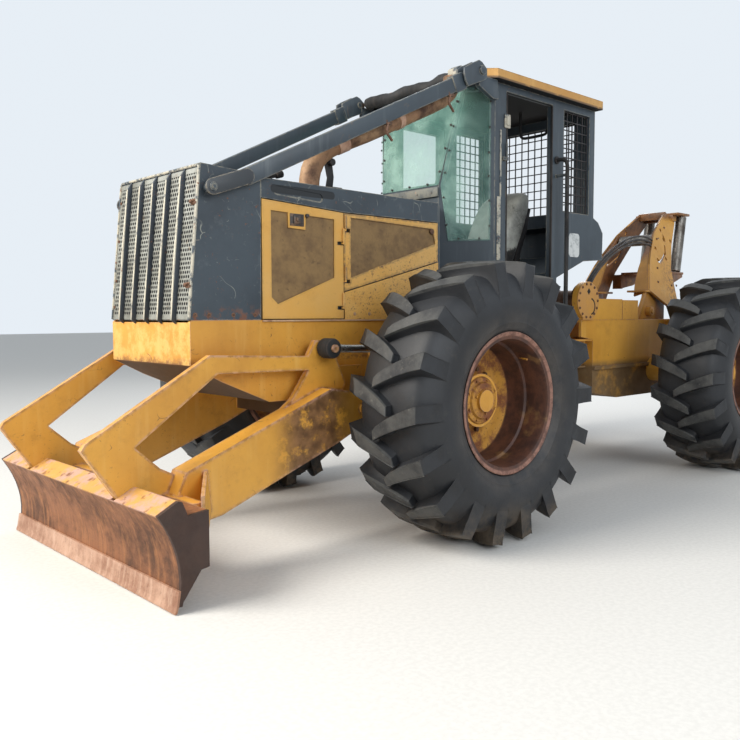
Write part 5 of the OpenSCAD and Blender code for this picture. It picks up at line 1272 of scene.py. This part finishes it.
def leaning_plate(bm, outline, holes, side):
    """Fills an outline round its holes, then gives it its thickness."""
    edges = []
    for loop in [outline] + holes:
        verts = [bm.verts.new(on_arch(x, s, 0, side)) for x, s in loop]
        edges += [bm.edges.new((a, b)) for a, b in zip(verts, verts[1:] + verts[:1])]
    made = bmesh.ops.triangle_fill(bm, edges=edges, use_beauty=True)["geom"]
    faces = [g for g in made if isinstance(g, bmesh.types.BMFace)]
    thicken(bm, faces, on_arch(0, 0, PLATE_THICK, side) - on_arch(0, 0, 0, side), keep=True)


def front_flange(bm, side):
    """The flange along a plate's front edge, widest at the foot."""
    rows = [(on_arch(x, s, 1, side), on_arch(x, s, d, side)) for (x, s), d in zip(ARCH_FRONT, FLANGE_DEPTHS)]
    verts = [(bm.verts.new(a), bm.verts.new(b)) for a, b in rows]
    faces = [bm.faces.new((a[0], a[1], b[1], b[0])) for a, b in zip(verts, verts[1:])]
    thicken(bm, faces, (-0.017, 0, -0.010), keep=True)


def round_hole(x, s):
    """The outline of a round hole."""
    turns = [2 * math.pi * i / HOLE_SIDES for i in range(HOLE_SIDES)]
    return [(x + HOLE_RADIUS * math.cos(a), s + HOLE_RADIUS * math.sin(a)) for a in turns]


def make_arch():
    """Both plates with their feet, the cap, the rollers' carriers, and bolt heads on the left plate."""
    bm = bmesh.new()
    holes = [round_hole(x, s) for x, s in ROUND_HOLES] + [ARCH_PEAR, ARCH_HOOK]
    for side in (1, -1):
        leaning_plate(bm, ARCH_SIDE, holes, side)
        front_flange(bm, side)
        # Foot shelf, web, strut and the pins' bosses
        block(bm, (-3800, side * 190, 1640), (-3420, side * 398, 1660), 3)
        plate(bm, FOOT_WEB, side * 340, side * 360, 2)
        plate(bm, FOOT_STRUT, side * 358, side * 380, 2)
        cross_bar(bm, -3520, 1453, side * 350, side * 414, 46, 28, None, 5)
        cross_bar(bm, -3520, 1453, side * 350, side * 426, 24, 20, None, 3)
        # Web under the lower carrier
        plate(bm, CARRIER_WEB, side * 214, side * 234, 2)
        block(bm, (-4060, side * 228, 1700), (-4035, side * 336, 1852), 2)
    # Cap and the carriers of the standing rollers
    plate(bm, ARCH_CAP, -148, 148, 2)
    block(bm, (-4600, -246, 2480), (-4340, 246, 2504), 3)
    block(bm, (-4420, -186, 2418), (-4340, 186, 2485), 3)
    block(bm, (-4500, -240, 1850), (-4040, 240, 1874), 3)
    arch = finish_piece("arch_worn", bm, "rear", ARCH)
    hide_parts("arch")
    bm = bmesh.new()
    for x, s in ARCH_BOLTS:
        bolt(bm, unplace(on_arch(x, s, 0, 1)), on_arch(x, s, -1, 1) - on_arch(x, s, 0, 1), 9, 8)
    finish_piece("arch_bolts", bm, "rear", PIN)


# Winch cover, with the diamond and the curved slot in it

COVER_X, COVER_Y, COVER_Z = -2370, 420, 1545
DIAMOND = [(-4, 112), (22, 82), (-4, 52), (-30, 82)]
SLOT_STEPS = 13


def make_winch_cover():
    """Bolts round the cover plate, and black sheets in its openings, as painted shade inside them."""
    bm = bmesh.new()
    bolt_ring(bm, (COVER_X, COVER_Y, COVER_Z), 1, 150, 14, 0, 9, 8)
    finish_piece("winch_bolts", bm, "rear", PIN)
    bm = bmesh.new()
    # Black sheets in the diamond and the curved slot: painted shade inside the openings.
    plate(bm, [(COVER_X + x, COVER_Z + z) for x, z in DIAMOND], COVER_Y + 0.2, COVER_Y + 1.6)
    arc = []
    for radius, first, step in ((78, 100, 13), (64, 256, -13)):
        for a in (math.radians(first + step * i) for i in range(SLOT_STEPS)):
            arc.append((COVER_X - 34 + radius * math.cos(a), COVER_Z - 52 + radius * math.sin(a)))
    plate(bm, arc, COVER_Y + 0.2, COVER_Y + 1.6)
    finish_piece("winch_slot_shade", bm, "rear", BLACK)


# Stage and light

def make_floor():
    """A plain pale floor."""
    floor = Finish("floor_plain")
    speckle = floor.noise(40.0, 4).step(0.3, 0.7)
    floor.surface(floor.blend(paint(214, 212, 208), paint(222, 220, 216), speckle), 0.9)
    bm = bmesh.new()
    bmesh.ops.create_grid(bm, x_segments=1, y_segments=1, size=60)
    mesh = mesh_of("floor", bm)
    mesh.materials.append(floor.material)
    ground = set_down("floor", mesh)


def make_sky():
    """A soft light all round, and a paler sky where it is seen, mirrored or looked at through glass."""
    world = bpy.data.worlds.new("sky")
    bpy.context.scene.world = world
    sky = Nodes(world)
    path = sky.node("ShaderNodeLightPath", out=None)
    rays = ("Camera", "Glossy", "Transmission")
    seen, mirrored, through = (Field(sky, path.outputs[f"Is {ray} Ray"]) for ray in rays)
    light = sky.node("ShaderNodeBackground", {}, {0: (0.86, 0.93, 1.0, 1), 1: 0.55})
    pale = sky.node("ShaderNodeBackground", {}, {0: (0.80, 0.86, 0.92, 1), 1: 1.0})
    mix = sky.node("ShaderNodeMixShader", {}, {0: seen.most(mirrored).most(through), 1: light, 2: pale})
    sky.node("ShaderNodeOutputWorld", {}, {0: mix}, out=None)


def lamp(name, at, towards, size, power, colour):
    """A rectangular lamp that faces a point."""
    data = bpy.data.lights.new(name, "AREA")
    data.shape = "RECTANGLE"
    data.size, data.size_y = size
    data.energy = power
    data.color = colour
    light = set_down(name, data)
    light.location = at
    light.rotation_euler = (Vector(towards) - Vector(at)).to_track_quat("-Z", "Y").to_euler()


def make_lights():
    """A warm key lamp ahead, and paler ones from the left and from behind."""
    bpy.context.scene.view_settings.view_transform = "Standard"
    lamp("key", (9.5, -1.5, 7.0), (0.3, 0.2, 1.2), (5, 5), 1350, (1.0, 0.95, 0.87))
    lamp("fill", (2.5, 10.5, 5.5), (0.0, 0.0, 1.2), (7, 5), 520, (0.92, 0.96, 1.0))
    lamp("back", (-8.5, -6.0, 6.0), (-1.0, 0.0, 1.5), (6, 4), 420, (0.95, 0.97, 1.0))


stand_camera()
make_hoses()
one_tyre = tyre_mesh()
for end in ("front", "rear"):
    for side, s in SIDES:
        make_tyre(one_tyre, end, side, s)
        make_wheel(end, side, s)
make_grille()
make_shroud_trim()
for side, s in SIDES:
    make_door_latches(side, s)
    make_frame_ledge(side, s)
make_hood_fittings()
make_risers()
make_riser_fittings()
make_exhaust()
make_roof_edge()
make_glass()
make_cab_fittings()
make_seat()
make_arch()
make_winch_cover()
make_floor()
make_sky()
make_lights()
